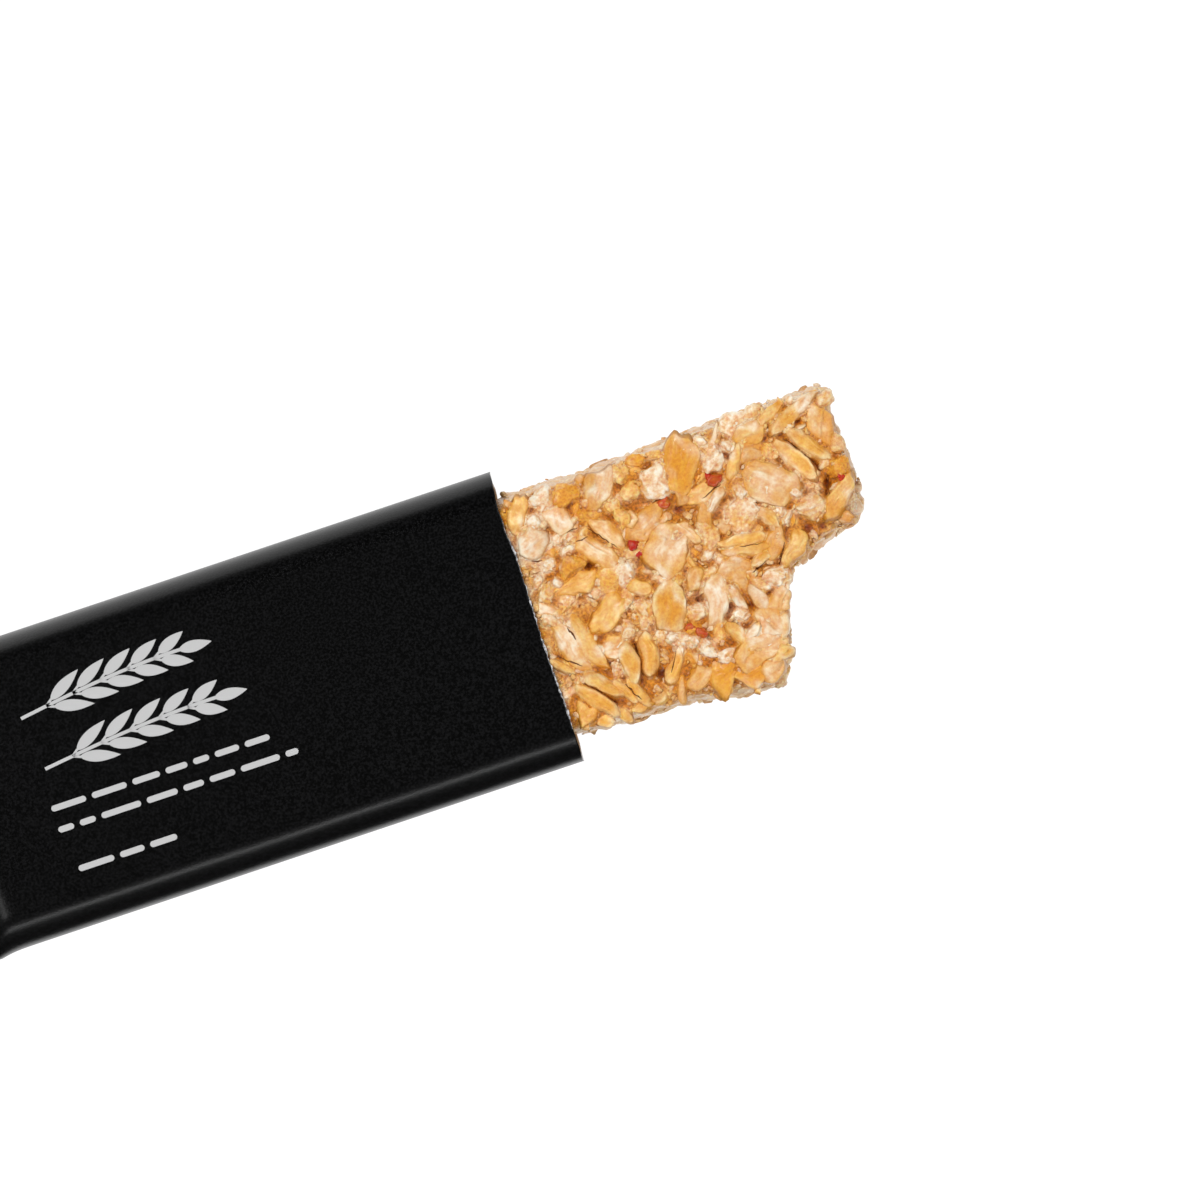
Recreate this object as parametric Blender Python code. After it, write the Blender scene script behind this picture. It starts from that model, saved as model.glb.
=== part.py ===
"""A granola bar, half out of its film wrapper, with a bite-sized corner broken off its end.

Run it with blender --background --python part.py, or from Blender's text editor.

Working frame while building: x = 0 at the wrapper's cut mouth, +X towards the broken end,
y = 0 on the middle of the wrapper, z = 0 on the surface that the pack lies on. At the end
both pieces slide along X together, so that the origin is under the middle of the whole.
"""

import math
import random

import bmesh
import bpy
from mathutils import Euler, Matrix, Vector, noise

MM = 0.001

# Film wrapper, a flow-wrapped tube that the bar pushes into a flat oval.
FILM = 0.3 * MM  # wall of the solid; the real film is thinner
WRAP_HALF_WIDTH = 22.1 * MM
WRAP_SIDE_ROUND = 5.3 * MM  # how far in the rounded sides reach, seen from above
WRAP_TOP = 15.7 * MM
FIN_THICK = 0.35 * MM  # the lengthwise seam under the pack, folded flat
FIN_SPAN = (-3.0 * MM, 7.0 * MM)
TUBE_LENGTH = 84.0 * MM  # from the mouth to where the closed end starts to flatten
TAPER_LENGTH = 11.0 * MM
CRIMP_LENGTH = 12.0 * MM
CRIMP_HALF_WIDTH = 26.0 * MM  # half the tube's girth, because the end is pressed flat
CRIMP_HALF_THICK = 0.25 * MM
MOUTH_WAVE = 0.35 * MM  # the cut edge isn't quite straight
CAVITY_END = 0.72  # past this share of the flattening, the film's two walls have met
TAPER_RINGS = 7
SIDE_POINTS = 8  # steps round each side of the tube
FLAT_POINTS = 9  # points across its flat top

# The bar's plain core. The pieces that show are fused onto it.
GAP = 0.3 * MM  # between the film and the bar
CORE_TOP = 14.4 * MM  # the film lies on the highest pieces, so the core is a little lower
CORE_BASE = FIN_THICK + FILM + GAP
HIDDEN_LENGTH = 86.0 * MM
HIDDEN_END_ROUND = 4.0 * MM  # the closed end's film slopes down over the bar's edge
CORE_NOISE = 0.35 * MM
OUTLINE_STEP = 2.4 * MM

# Corners of the part of the bar that is out of the wrapper, in millimetres (x, y), from the
# mouth round the broken end and back. A smooth curve runs through them.
EXPOSED_OUTLINE = [
    (2.0, 18.0), (14.0, 17.9), (25.0, 18.5), (36.0, 18.6), (44.0, 18.7), (50.0, 18.2),
    (50.2, 14.5), (50.5, 8.0), (50.6, 3.0), (49.8, -0.2), (46.5, -2.0), (42.5, -3.0),
    (38.6, -4.4), (36.6, -7.0), (34.9, -9.6), (34.6, -13.0), (33.6, -15.8), (31.6, -18.4),
    (30.4, -20.4), (25.5, -20.3), (19.0, -19.0), (10.0, -18.3), (2.0, -18.0),
]

# Each ring of the core: share of its height, and how far it is drawn in towards the middle
# line. The bar was cut from a slab, so it is widest at its foot and its top edge is soft.
CORE_RINGS = [
    (0.0, 1.6), (0.05, 0.5), (0.16, 0.0), (0.45, 0.35), (0.72, 0.8), (0.9, 1.4), (1.0, 2.6),
]

# The pieces that catch the eye on the top, in millimetres and degrees:
# kind, x, y, length, width, heading from +X.
TOP_PIECES = [
    ("puff", 3.6, 11.7, 4.2, 4.2, 0), ("puff", 7.2, 12.2, 4.0, 3.0, 0),
    ("puff", 10.4, 15.8, 3.6, 3.0, 20), ("puff", 14.2, 15.7, 4.2, 3.8, 90),
    ("puff", 22.7, 12.9, 4.9, 4.9, 0), ("flake", 26.9, 15.3, 5.5, 4.2, 20),
    ("puff", 32.5, 13.1, 5.2, 2.6, 80), ("flake", 37.4, 16.0, 5.0, 3.6, 0),
    ("split", 43.6, 15.6, 6.6, 2.6, 22), ("split", 44.7, 10.6, 8.4, 4.2, -56),
    ("flake", 38.1, 7.7, 8.6, 5.6, -32), ("flake", 37.8, 13.3, 5.0, 3.0, 0),
    ("puff", 42.8, 2.6, 4.6, 3.8, 10), ("flake", 47.4, 2.6, 6.4, 3.4, 38),
    ("puff", 33.4, 4.4, 4.8, 4.0, 0), ("split", 32.0, 0.6, 7.0, 2.5, -3),
    ("flake", 27.6, 3.3, 5.8, 3.2, 80), ("flake", 22.6, 3.3, 7.5, 6.2, 60),
    ("split", 13.1, 6.6, 7.0, 4.8, -40), ("puff", 16.0, 10.6, 3.4, 3.2, 0),
    ("puff", 7.7, 4.8, 3.6, 3.4, 0), ("puff", 13.7, 1.2, 5.4, 4.2, 30),
    ("flake", 10.2, -2.8, 6.6, 3.4, 33), ("flake", 19.1, -4.5, 7.6, 4.6, 80),
    ("split", 5.6, -6.1, 9.0, 5.8, -62), ("split", 12.7, -9.9, 5.8, 5.4, 90),
    ("split", 6.8, -13.2, 7.0, 4.2, -46), ("flake", 16.7, -13.1, 4.6, 2.2, 60),
    ("flake", 25.4, -6.1, 8.0, 4.5, 75), ("flake", 28.2, -13.1, 6.8, 3.2, 35),
    ("flake", 22.2, -16.4, 5.0, 3.6, 10), ("flake", 31.6, -8.6, 6.0, 3.4, 80),
    ("flake", 37.8, -1.4, 6.6, 3.2, 50), ("flake", 31.6, -2.9, 5.2, 3.6, -15),
    ("puff", 34.4, -5.0, 3.8, 3.4, 0), ("flake", 18.7, 7.0, 5.0, 3.2, 20),
]

# Scattered pieces, finer ones between the large ones on top, the rest on the other faces.
SEED = 11
TOP_CRUMBS = 84
SIDE_PIECES = 28
BREAK_PIECES = 26
BASE_PIECES = 20
FLAKE_THICK = 1.5 * MM
MOST_PUFF_THICK = 2.4 * MM
FLAKE_POINTS = 8
MOUTH_CLEAR = 0.9 * MM  # pieces on the outside stay this far from the film's edge


def clear_scene():
    for old in list(bpy.data.objects):
        bpy.data.objects.remove(old, do_unlink=True)


def ease(t):
    """Smooth step from 0 to 1."""
    t = min(1.0, max(0.0, t))
    return t * t * (3.0 - 2.0 * t)


def mix(a, b, t):
    return a + (b - a) * t


def material(name, rgb, roughness, metallic=0.0):
    made = bpy.data.materials.new(name)
    made.use_nodes = True
    shader = made.node_tree.nodes["Principled BSDF"]
    shader.inputs["Base Color"].default_value = (*rgb, 1.0)
    shader.inputs["Roughness"].default_value = roughness
    shader.inputs["Metallic"].default_value = metallic
    return made


def object_from(bm, name, finish, smooth_angle=35.0):
    bmesh.ops.recalc_face_normals(bm, faces=bm.faces)
    mesh = bpy.data.meshes.new(name)
    bm.to_mesh(mesh)
    bm.free()
    mesh.materials.append(finish)
    mesh.shade_smooth()
    mesh.set_sharp_from_angle(angle=math.radians(smooth_angle))
    made = bpy.data.objects.new(name, mesh)
    bpy.context.scene.collection.objects.link(made)
    return made


# Wrapper


def wrapper_section(flatten, inset):
    """One ring of the film as (y, z) points, from the top's left end round to the start.

    flatten is 0 on the tube and 1 on the pressed end. inset is 0 outside, FILM inside.
    """
    low = FIN_THICK
    middle = (WRAP_TOP + low) / 2
    half_height = mix((WRAP_TOP - low) / 2, CRIMP_HALF_THICK, flatten) - inset
    half_width = mix(WRAP_HALF_WIDTH, CRIMP_HALF_WIDTH, flatten) - inset
    side = mix(WRAP_SIDE_ROUND, CRIMP_HALF_THICK, flatten) - inset * (1.0 - flatten)
    flat = half_width - side
    fin = 0.0 if inset else FIN_THICK * mix(1.0, 0.4, flatten)
    ring = []
    for i in range(FLAT_POINTS):
        ring.append((mix(-flat, flat, i / (FLAT_POINTS - 1)), middle + half_height))
    for i in range(1, SIDE_POINTS):
        turn = math.pi * i / SIDE_POINTS
        ring.append((flat + side * math.sin(turn), middle + half_height * math.cos(turn)))
    bottom = middle - half_height
    ring.append((flat, bottom))
    right, left = FIN_SPAN[1], FIN_SPAN[0]
    ring += [(right, bottom), (right, bottom - fin), (left, bottom - fin), (left, bottom)]
    ring.append((-flat, bottom))
    for i in range(1, SIDE_POINTS):
        turn = math.pi * i / SIDE_POINTS
        ring.append((-flat - side * math.sin(turn), middle - half_height * math.cos(turn)))
    return ring


def inner_section(flatten):
    """The film's inside, without the fin's doubled points."""
    ring = wrapper_section(flatten, FILM)
    kept = []
    for point in ring:
        if not kept or (Vector(point) - Vector(kept[-1])).length > 1e-7:
            kept.append(point)
    return kept


def mouth_x(y, z):
    """Where the cut edge lies along X: a slow wave with a slight pull-back at the sides."""
    wave = math.sin(y / (4.1 * MM)) + 0.6 * math.sin(y / (1.9 * MM) + z / (5.0 * MM))
    side = ease((abs(y) / WRAP_HALF_WIDTH - 0.75) / 0.25)
    return MOUTH_WAVE * wave * 0.5 - 0.25 * MM * side


def ring_of(bm, section, x_of):
    return [bm.verts.new((x_of(y, z), y, z)) for y, z in section]


def bridge(bm, first, second):
    count = len(first)
    for i in range(count):
        j = (i + 1) % count
        bm.faces.new((first[i], first[j], second[j], second[i]))


def taper_stations():
    """(x, flatten) along the closed end, from the tube to where the film is pressed."""
    found = []
    for i in range(TAPER_RINGS + 1):
        t = i / TAPER_RINGS
        found.append((-TUBE_LENGTH - TAPER_LENGTH * t, math.sin(t * math.pi / 2) ** 1.6))
    return found


def make_wrapper():
    """The tube with its open mouth, tapering to a crimped end. One closed solid."""
    bm = bmesh.new()
    end_x = -(TUBE_LENGTH + TAPER_LENGTH + CRIMP_LENGTH)
    outer = [ring_of(bm, wrapper_section(0.0, 0.0), mouth_x)]
    for x, flatten in taper_stations():
        outer.append(ring_of(bm, wrapper_section(flatten, 0.0), lambda y, z, x=x: x))
    outer.append(ring_of(bm, wrapper_section(1.0, 0.0), lambda y, z: end_x))
    for first, second in zip(outer, outer[1:]):
        bridge(bm, first, second)
    bm.faces.new(outer[-1])

    inner = [ring_of(bm, inner_section(0.0), mouth_x)]
    for x, flatten in taper_stations():
        if flatten < CAVITY_END:
            inner.append(ring_of(bm, inner_section(flatten), lambda y, z, x=x: x))
    for first, second in zip(inner, inner[1:]):
        bridge(bm, first, second)
    bm.faces.new(inner[-1])

    rim(bm, outer[0], inner[0])
    return object_from(bm, "wrapper", material("black_film", (0.012, 0.012, 0.013), 0.42))


def rim(bm, outer, inner):
    """Joins the outside and the inside across the film's cut edge."""
    fin_points = len(outer) - len(inner)
    fin_start = next(
        i for i in range(len(outer) - 1)
        if abs(outer[i].co.y - outer[i + 1].co.y) < 1e-9 and outer[i + 1].co.z < outer[i].co.z
    )
    kept = [v for i, v in enumerate(outer) if not fin_start < i <= fin_start + fin_points]
    bridge(bm, kept, inner)
    bm.faces.new(outer[fin_start:fin_start + fin_points + 2])


# Bar


def smooth_loop(points, step):
    """Points about step apart on a Catmull-Rom curve through an open list of corners."""
    found = []
    last = len(points) - 1
    for i in range(last):
        p0, p1, p2, p3 = (Vector(points[k]) for k in
                          (max(i - 1, 0), i, i + 1, min(i + 2, last)))
        pieces = max(1, round((p2 - p1).length / step))
        for k in range(pieces):
            t = k / pieces
            found.append(0.5 * (2 * p1 + (p2 - p0) * t + (2 * p0 - 5 * p1 + 4 * p2 - p3) * t * t
                                + (3 * p1 - p0 - 3 * p2 + p3) * t ** 3))
    found.append(Vector(points[last]))
    return found


def core_outline():
    """The bar's foot seen from above: the exposed shape, then round the hidden end."""
    exposed = smooth_loop([(x * MM, y * MM) for x, y in EXPOSED_OUTLINE], OUTLINE_STEP)
    corner = 5.0 * MM
    half = 18.0 * MM
    hidden = [
        (0.0, -half), (-HIDDEN_LENGTH / 2, -half), (-HIDDEN_LENGTH + corner, -half),
        (-HIDDEN_LENGTH + 0.3 * corner, -half + 0.3 * corner), (-HIDDEN_LENGTH, -half + corner),
        (-HIDDEN_LENGTH, half - corner), (-HIDDEN_LENGTH + 0.3 * corner, half - 0.3 * corner),
        (-HIDDEN_LENGTH + corner, half), (-HIDDEN_LENGTH / 2, half), (0.0, half),
    ]
    return exposed + [Vector(p) for p in hidden]


def towards_spine(point):
    """Unit vector in plan from a point on the outline towards the bar's middle line."""
    spine_x = min(max(point.x, -HIDDEN_LENGTH + 14 * MM), 34.0 * MM)
    spine_y = 5.0 * MM * ease(point.x / (40 * MM))
    return (Vector((spine_x, spine_y)) - point).normalized()


def make_core():
    outline = core_outline()
    bm = bmesh.new()
    rings = []
    for share, inset in CORE_RINGS:
        ring = []
        for point in outline:
            rough = ease(point.x / (4 * MM))
            inward = towards_spine(point)
            z = mix(CORE_BASE, CORE_TOP, share)
            wobble = noise.noise(Vector((point.x, point.y, z * 1.4)) / (3.0 * MM))
            plan = point + inward * (inset * MM - rough * CORE_NOISE * 2.0 * wobble)
            if point.x < 6.0 * MM - HIDDEN_LENGTH:
                plan.x += HIDDEN_END_ROUND * abs(2.0 * share - 1.0) ** 2.5
            ring.append(bm.verts.new((plan.x, plan.y, z)))
        rings.append(ring)
    for first, second in zip(rings, rings[1:]):
        bridge(bm, first, second)
    bm.faces.new(rings[0])
    bm.faces.new(rings[-1])
    bmesh.ops.triangulate(bm, faces=[f for f in bm.faces if len(f.verts) > 4])
    return object_from(bm, "bar", material("baked_oats", (0.66, 0.42, 0.2), 0.5))


def flake_mesh(bm, length, width, thick, split):
    """A rolled oat: a flat lens with blunt ends. A split one has a valley along its top."""
    rings = []
    for height, scale in ((-0.5, 0.62), (0.0, 1.0), (0.5, 0.66)):
        ring = []
        for i in range(FLAKE_POINTS):
            turn = 2 * math.pi * i / FLAKE_POINTS
            on_tip = i % (FLAKE_POINTS // 2) == 0
            z = 0.05 * thick if split and on_tip and height > 0 else height * thick
            blunt = 0.92 if on_tip else 1.0
            ring.append(bm.verts.new((
                0.5 * length * scale * blunt * math.cos(turn),
                0.5 * width * scale * math.sin(turn), z)))
        rings.append(ring)
    for first, second in zip(rings, rings[1:]):
        bridge(bm, first, second)
    half = FLAKE_POINTS // 2
    top = rings[-1]
    bm.faces.new(rings[0])
    bm.faces.new(top[:half + 1])
    bm.faces.new(top[half:] + top[:1])


def puff_mesh(bm, length, width, thick, rng):
    """A puffed grain: a lumpy ball."""
    detail = 2 if length > 3.0 * MM else 1
    made = bmesh.ops.create_icosphere(bm, subdivisions=detail, radius=0.5)
    shift = Vector((rng.random(), rng.random(), rng.random())) * 40.0
    for v in made["verts"]:
        lump = 1.0 + 0.22 * noise.noise(v.co * 2.6 + shift)
        v.co = Vector((v.co.x * length, v.co.y * width, v.co.z * thick)) * lump


def place_piece(kind, where, facing, heading, length, width, thick, rng, into):
    """Adds one piece to a collection, lying on a surface that faces along facing."""
    bm = bmesh.new()
    if kind == "puff":
        puff_mesh(bm, length, width, thick, rng)
    else:
        flake_mesh(bm, length, width, thick, kind == "split")
    bmesh.ops.recalc_face_normals(bm, faces=bm.faces)
    tilt = Euler((math.radians(rng.uniform(-9, 9)), math.radians(rng.uniform(-9, 9)), 0.0))
    upright = facing.to_track_quat("Z", "Y").to_matrix().to_4x4()
    turn = Matrix.Rotation(heading, 4, "Z")
    bm.transform(Matrix.Translation(where) @ upright @ turn @ tilt.to_matrix().to_4x4())
    lowest = min(v.co.z for v in bm.verts)
    if lowest < 0.05 * MM:
        bmesh.ops.translate(bm, verts=bm.verts, vec=(0, 0, 0.05 * MM - lowest))
    nearest = min(v.co.x for v in bm.verts)
    if nearest < MOUTH_CLEAR:
        bmesh.ops.translate(bm, verts=bm.verts, vec=(MOUTH_CLEAR - nearest, 0, 0))
    mesh = bpy.data.meshes.new("piece")
    bm.to_mesh(mesh)
    bm.free()
    into.objects.link(bpy.data.objects.new("piece", mesh))


def top_pieces(rng, into):
    """The large flakes and puffs as they lie on the photo's side, then finer crumbs."""
    for kind, x, y, length, width, heading in TOP_PIECES:
        thick = min(0.7 * width * MM, MOST_PUFF_THICK) if kind == "puff" else FLAKE_THICK
        where = Vector((x * MM, y * MM, CORE_TOP + rng.uniform(0.15, 0.45) * MM))
        place_piece(kind, where, Vector((0, 0, 1)), math.radians(heading),
                    length * MM, width * MM, thick, rng, into)
    top_outline = [p + towards_spine(p) * 2.8 * MM for p in core_outline()]
    placed = 0
    while placed < TOP_CRUMBS:
        point = Vector((rng.uniform(2, 49) * MM, rng.uniform(-18, 17) * MM))
        if not inside(point, top_outline):
            continue
        size = rng.uniform(1.8, 3.0) * MM
        where = Vector((point.x, point.y, CORE_TOP + rng.uniform(0.0, 0.3) * MM))
        place_piece("puff", where, Vector((0, 0, 1)), rng.uniform(0, math.pi),
                    size, size * 0.8, size * 0.75, rng, into)
        placed += 1


def inside(point, outline):
    """Whether a point in plan lies within a closed outline."""
    crossings = 0
    for a, b in zip(outline, outline[1:] + outline[:1]):
        if (a.y > point.y) != (b.y > point.y):
            if point.x < a.x + (b.x - a.x) * (point.y - a.y) / (b.y - a.y):
                crossings += 1
    return crossings % 2 == 1


def wall_places(start, stop, count, rng):
    """Evenly spread places on the bar's side wall between two shares of the outline."""
    exposed = smooth_loop([(x * MM, y * MM) for x, y in EXPOSED_OUTLINE], OUTLINE_STEP)
    for i in range(count):
        share = start + (stop - start) * (i + rng.uniform(0.2, 0.8)) / count
        k = min(int(share * (len(exposed) - 1)), len(exposed) - 2)
        point = exposed[k].lerp(exposed[k + 1], share * (len(exposed) - 1) - k)
        along = (exposed[k + 1] - exposed[k]).normalized()
        outward = Vector((-along.y, along.x))
        yield point, outward, rng.uniform(0.12, 0.82)


def wall_pieces(rng, into):
    """Flakes lie flat in the cut sides. On the break they stand out."""
    spans = (
        (0.03, 0.33, SIDE_PIECES // 2, 0.0), (0.36, 0.76, BREAK_PIECES, 0.35),
        (0.79, 0.97, SIDE_PIECES // 2, 0.0),
    )
    for start, stop, count, proud in spans:
        for point, outward, share in wall_places(start, stop, count, rng):
            z = mix(CORE_BASE, CORE_TOP, share)
            depth = mix(0.2, 1.0, share) - proud
            plan = point - outward * depth * MM
            kind = rng.choice(("puff", "flake", "flake") if proud else ("flake", "puff"))
            length = rng.uniform(2.8, 4.8) * MM
            width = length * rng.uniform(0.55, 0.8)
            thick = (0.7 if proud else 0.35) * width if kind == "puff" else FLAKE_THICK * 0.8
            facing = Vector((outward.x, outward.y, rng.uniform(-0.1, 0.2)))
            place_piece(kind, Vector((plan.x, plan.y, z)), facing,
                        rng.uniform(0, math.pi), length, width, thick, rng, into)


def base_pieces(rng, into):
    """Flakes pressed flat into the underside, which lay on the baking sheet."""
    base_outline = [p + towards_spine(p) * 3.0 * MM for p in core_outline()]
    placed = 0
    while placed < BASE_PIECES:
        point = Vector((rng.uniform(4, 47) * MM, rng.uniform(-18, 16) * MM))
        if not inside(point, base_outline):
            continue
        length = rng.uniform(4.5, 7.5) * MM
        where = Vector((point.x, point.y, CORE_BASE + 0.1 * MM))
        place_piece("flake", where, Vector((0, 0, -1)), rng.uniform(0, math.pi),
                    length, length * 0.62, FLAKE_THICK, rng, into)
        placed += 1


def fuse(core, pieces):
    """Joins the pieces to the core with one Boolean, then removes them."""
    union = core.modifiers.new("pieces", "BOOLEAN")
    union.operation = "UNION"
    union.operand_type = "COLLECTION"
    union.collection = pieces
    union.solver = "MANIFOLD"
    bpy.context.view_layer.update()
    graph = bpy.context.evaluated_depsgraph_get()
    fused = bpy.data.meshes.new_from_object(core.evaluated_get(graph), depsgraph=graph)
    core.modifiers.clear()
    core.data = fused
    for piece in list(pieces.objects):
        bpy.data.objects.remove(piece, do_unlink=True)
    bpy.data.collections.remove(pieces)


def keep_main_body(obj):
    """Keeps the largest body: hollows that fusing sealed are filled, loose scraps dropped."""
    bm = bmesh.new()
    bm.from_mesh(obj.data)
    bmesh.ops.remove_doubles(bm, verts=bm.verts, dist=0.004 * MM)
    bodies, seen = [], set()
    for start in bm.faces:
        if start in seen:
            continue
        body, waiting = [], [start]
        seen.add(start)
        while waiting:
            face = waiting.pop()
            body.append(face)
            for edge in face.edges:
                for other in edge.link_faces:
                    if other not in seen:
                        seen.add(other)
                        waiting.append(other)
        bodies.append(body)
    bodies.sort(key=len)
    spare = [f for body in bodies[:-1] for f in body]
    bmesh.ops.delete(bm, geom=spare, context="FACES")
    bmesh.ops.triangulate(bm, faces=bm.faces)
    bm.to_mesh(obj.data)
    bm.free()
    obj.data.shade_smooth()
    obj.data.set_sharp_from_angle(angle=math.radians(30))


def make_bar():
    rng = random.Random(SEED)
    core = make_core()
    pieces = bpy.data.collections.new("pieces")
    bpy.context.scene.collection.children.link(pieces)
    top_pieces(rng, pieces)
    wall_pieces(rng, pieces)
    base_pieces(rng, pieces)
    fuse(core, pieces)
    keep_main_body(core)
    return core


def centre_along_x(objects):
    """Slides everything along X so that the origin is under the middle of the whole."""
    xs = [v.co.x for o in objects for v in o.data.vertices]
    shift = -(min(xs) + max(xs)) / 2
    for o in objects:
        o.data.transform(Matrix.Translation((shift, 0, 0)))
    print(f"the mouth is at x = {shift / MM:.3f} mm")


def main():
    clear_scene()
    made = [make_wrapper(), make_bar()]
    centre_along_x(made)
    for o in made:
        print(o.name, len(o.data.polygons), "faces")


main()
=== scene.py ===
# %% [markdown]
# # A granola bar, half out of its wrapper
#
# An oat bar is pushed out of a matte black film pack, and a corner of its free end has been
# broken off. We load the solid model as a fixed frame, and then make two things look real:
# the film, which is thin, smooth and dark, and the bar, which is hundreds of small pieces
# stuck together with syrup.

# %% Load the frame
import math

import bmesh
import bpy
import numpy as np
from mathutils import Matrix, Vector
from mathutils.bvhtree import BVHTree
from mathutils.kdtree import KDTree


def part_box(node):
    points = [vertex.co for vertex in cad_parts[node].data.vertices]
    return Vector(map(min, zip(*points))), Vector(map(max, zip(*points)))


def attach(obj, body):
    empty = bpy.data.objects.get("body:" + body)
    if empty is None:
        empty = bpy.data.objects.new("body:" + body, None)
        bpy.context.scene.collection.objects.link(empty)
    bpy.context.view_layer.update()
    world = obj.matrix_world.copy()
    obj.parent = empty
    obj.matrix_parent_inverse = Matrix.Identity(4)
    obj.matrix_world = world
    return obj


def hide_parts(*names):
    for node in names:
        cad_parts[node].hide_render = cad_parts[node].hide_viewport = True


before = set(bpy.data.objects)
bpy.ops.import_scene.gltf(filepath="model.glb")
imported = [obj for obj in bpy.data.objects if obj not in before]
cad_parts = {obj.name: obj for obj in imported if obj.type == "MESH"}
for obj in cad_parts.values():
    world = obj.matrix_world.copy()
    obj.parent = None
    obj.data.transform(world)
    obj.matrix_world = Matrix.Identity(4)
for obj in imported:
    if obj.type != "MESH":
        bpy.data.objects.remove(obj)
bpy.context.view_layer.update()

MM = 0.001
WRAP_LOW, WRAP_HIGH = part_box("wrapper")
BAR_LOW, BAR_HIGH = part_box("bar")

# %% [markdown]
# Everything below is laid out in millimetres from the wrapper's cut mouth: x runs out of the
# mouth towards the broken end, y to the left of that, and z up from the table. One shift along
# x turns that into the frame's own coordinates, so each piece is built in mouth coordinates
# and slid into place at the end.

# %% Mouth coordinates
MOUTH_WAVE = 0.25
MOUTH_X = WRAP_HIGH.x / MM - MOUTH_WAVE
BAR_END = BAR_HIGH.x / MM - MOUTH_X
PACK_END = WRAP_LOW.x / MM - MOUTH_X
CEILING = BAR_HIGH.z / MM - 0.02
print(f"mouth at x = {MOUTH_X:.2f} mm, bar ends {BAR_END:.1f} mm out, pack at {PACK_END:.1f} mm")


# %% [markdown]
# A few small helpers serve the whole file. Colours are given as sRGB hex values, as a colour
# picker shows them, and Blender wants linear ones. A shader node is added with its settings
# and its links in one call, and three more helpers make the noise, the two-tone ramp and the
# bump that most materials share. A mesh is made from arrays of points and faces, in mouth
# millimetres, with one colour for each point where the piece has them. ripple gives smooth
# lumps that depend on the place alone, and ease is a soft step from 0 to 1.

# %% Colour, node and mesh helpers
def linear(hex_colour):
    srgb = np.array([int(hex_colour[i:i + 2], 16) / 255 for i in (1, 3, 5)])
    return np.where(srgb <= 0.04045, srgb / 12.92, ((srgb + 0.055) / 1.055) ** 2.4)


def rgba(hex_colour):
    return (*linear(hex_colour), 1.0)


def add_node(tree, kind, links=None, **settings):
    """Adds one node. settings are its properties or its inputs, links feed its inputs."""
    node = tree.nodes.new(kind)
    for name, value in settings.items():
        if name in node.inputs or name.replace("_", " ") in node.inputs:
            socket = name if name in node.inputs else name.replace("_", " ")
            node.inputs[socket].default_value = value
        else:
            setattr(node, name, value)
    for name, source in (links or {}).items():
        tree.links.new(source, node.inputs[name])
    return node


def new_material(name, **principled):
    """A material with a Principled shader whose sockets are set by name."""
    made = bpy.data.materials.new(name)
    made.use_nodes = True
    shader = made.node_tree.nodes["Principled BSDF"]
    for socket, value in principled.items():
        shader.inputs[socket.replace("_", " ")].default_value = value
    return made, made.node_tree, shader


def noise(tree, size_mm, detail, **settings):
    """Noise with grains of that size, which keeps its place on the object."""
    place = tree.nodes.get("Texture Coordinate") or add_node(tree, "ShaderNodeTexCoord")
    made = add_node(tree, "ShaderNodeTexNoise", {"Vector": place.outputs["Object"]},
                    Scale=1 / (size_mm * MM), Detail=detail, **settings)
    return made.outputs["Fac"]


def two_tone(tree, value, low, high, dark, light):
    """A colour that is dark where value is up to low, and light from high on."""
    ramp = add_node(tree, "ShaderNodeValToRGB", {"Fac": value})
    for element, position, colour in zip(ramp.color_ramp.elements, (low, high), (dark, light)):
        element.position, element.color = position, rgba(colour)
    return ramp.outputs["Color"]


def mix(tree, way, share, first, second):
    """Mixes two colours. share and second may be sockets or constant values."""
    node = add_node(tree, "ShaderNodeMix", data_type="RGBA", blend_type=way)
    for socket, value in ((node.inputs["Factor"], share), (node.inputs[6], first),
                          (node.inputs[7], second)):
        if isinstance(value, bpy.types.NodeSocket):
            tree.links.new(value, socket)
        else:
            socket.default_value = value
    return node.outputs[2]


def bump(tree, shader, height, strength, depth_mm):
    """Tilts the shader's normal by a height."""
    relief = add_node(tree, "ShaderNodeBump", {"Height": height}, Strength=strength,
                      Distance=depth_mm * MM)
    tree.links.new(relief.outputs["Normal"], shader.inputs["Normal"])


def mesh_from(name, points, faces, materials, colours=None, along=None):
    """A smooth mesh object from mouth-millimetre points and faces of three or four corners."""
    mesh = bpy.data.meshes.new(name)
    placed = (np.asarray(points, float) + (MOUTH_X, 0, 0)) * MM
    mesh.from_pydata(placed.tolist(), [], faces.tolist() if hasattr(faces, "tolist") else faces)
    if colours is not None:
        tint = mesh.color_attributes.new("tint", "FLOAT_COLOR", "POINT")
        with_alpha = np.column_stack([colours, np.ones(len(colours))])
        tint.data.foreach_set("color", with_alpha.astype(np.float32).ravel())
    if along is not None:
        grain = mesh.attributes.new("along", "FLOAT_VECTOR", "POINT")
        grain.data.foreach_set("vector", np.asarray(along, np.float32).ravel())
    for material in materials:
        mesh.materials.append(material)
    mesh.validate()
    mesh.shade_smooth()
    made = bpy.data.objects.new(name, mesh)
    bpy.context.scene.collection.objects.link(made)
    return made


def ring_faces(rings, count):
    """Quads between one ring of count points and the next."""
    return [(r * count + i, r * count + (i + 1) % count,
             (r + 1) * count + (i + 1) % count, (r + 1) * count + i)
            for r in range(rings - 1) for i in range(count)]


def closed_loft(rings):
    """Points and faces of a closed body through rings that have as many points each."""
    count, last = len(rings[0]), (len(rings) - 1) * len(rings[0])
    ends = [list(range(count - 1, -1, -1)), list(range(last, last + count))]
    return np.concatenate(rings), ring_faces(len(rings), count) + ends


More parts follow.
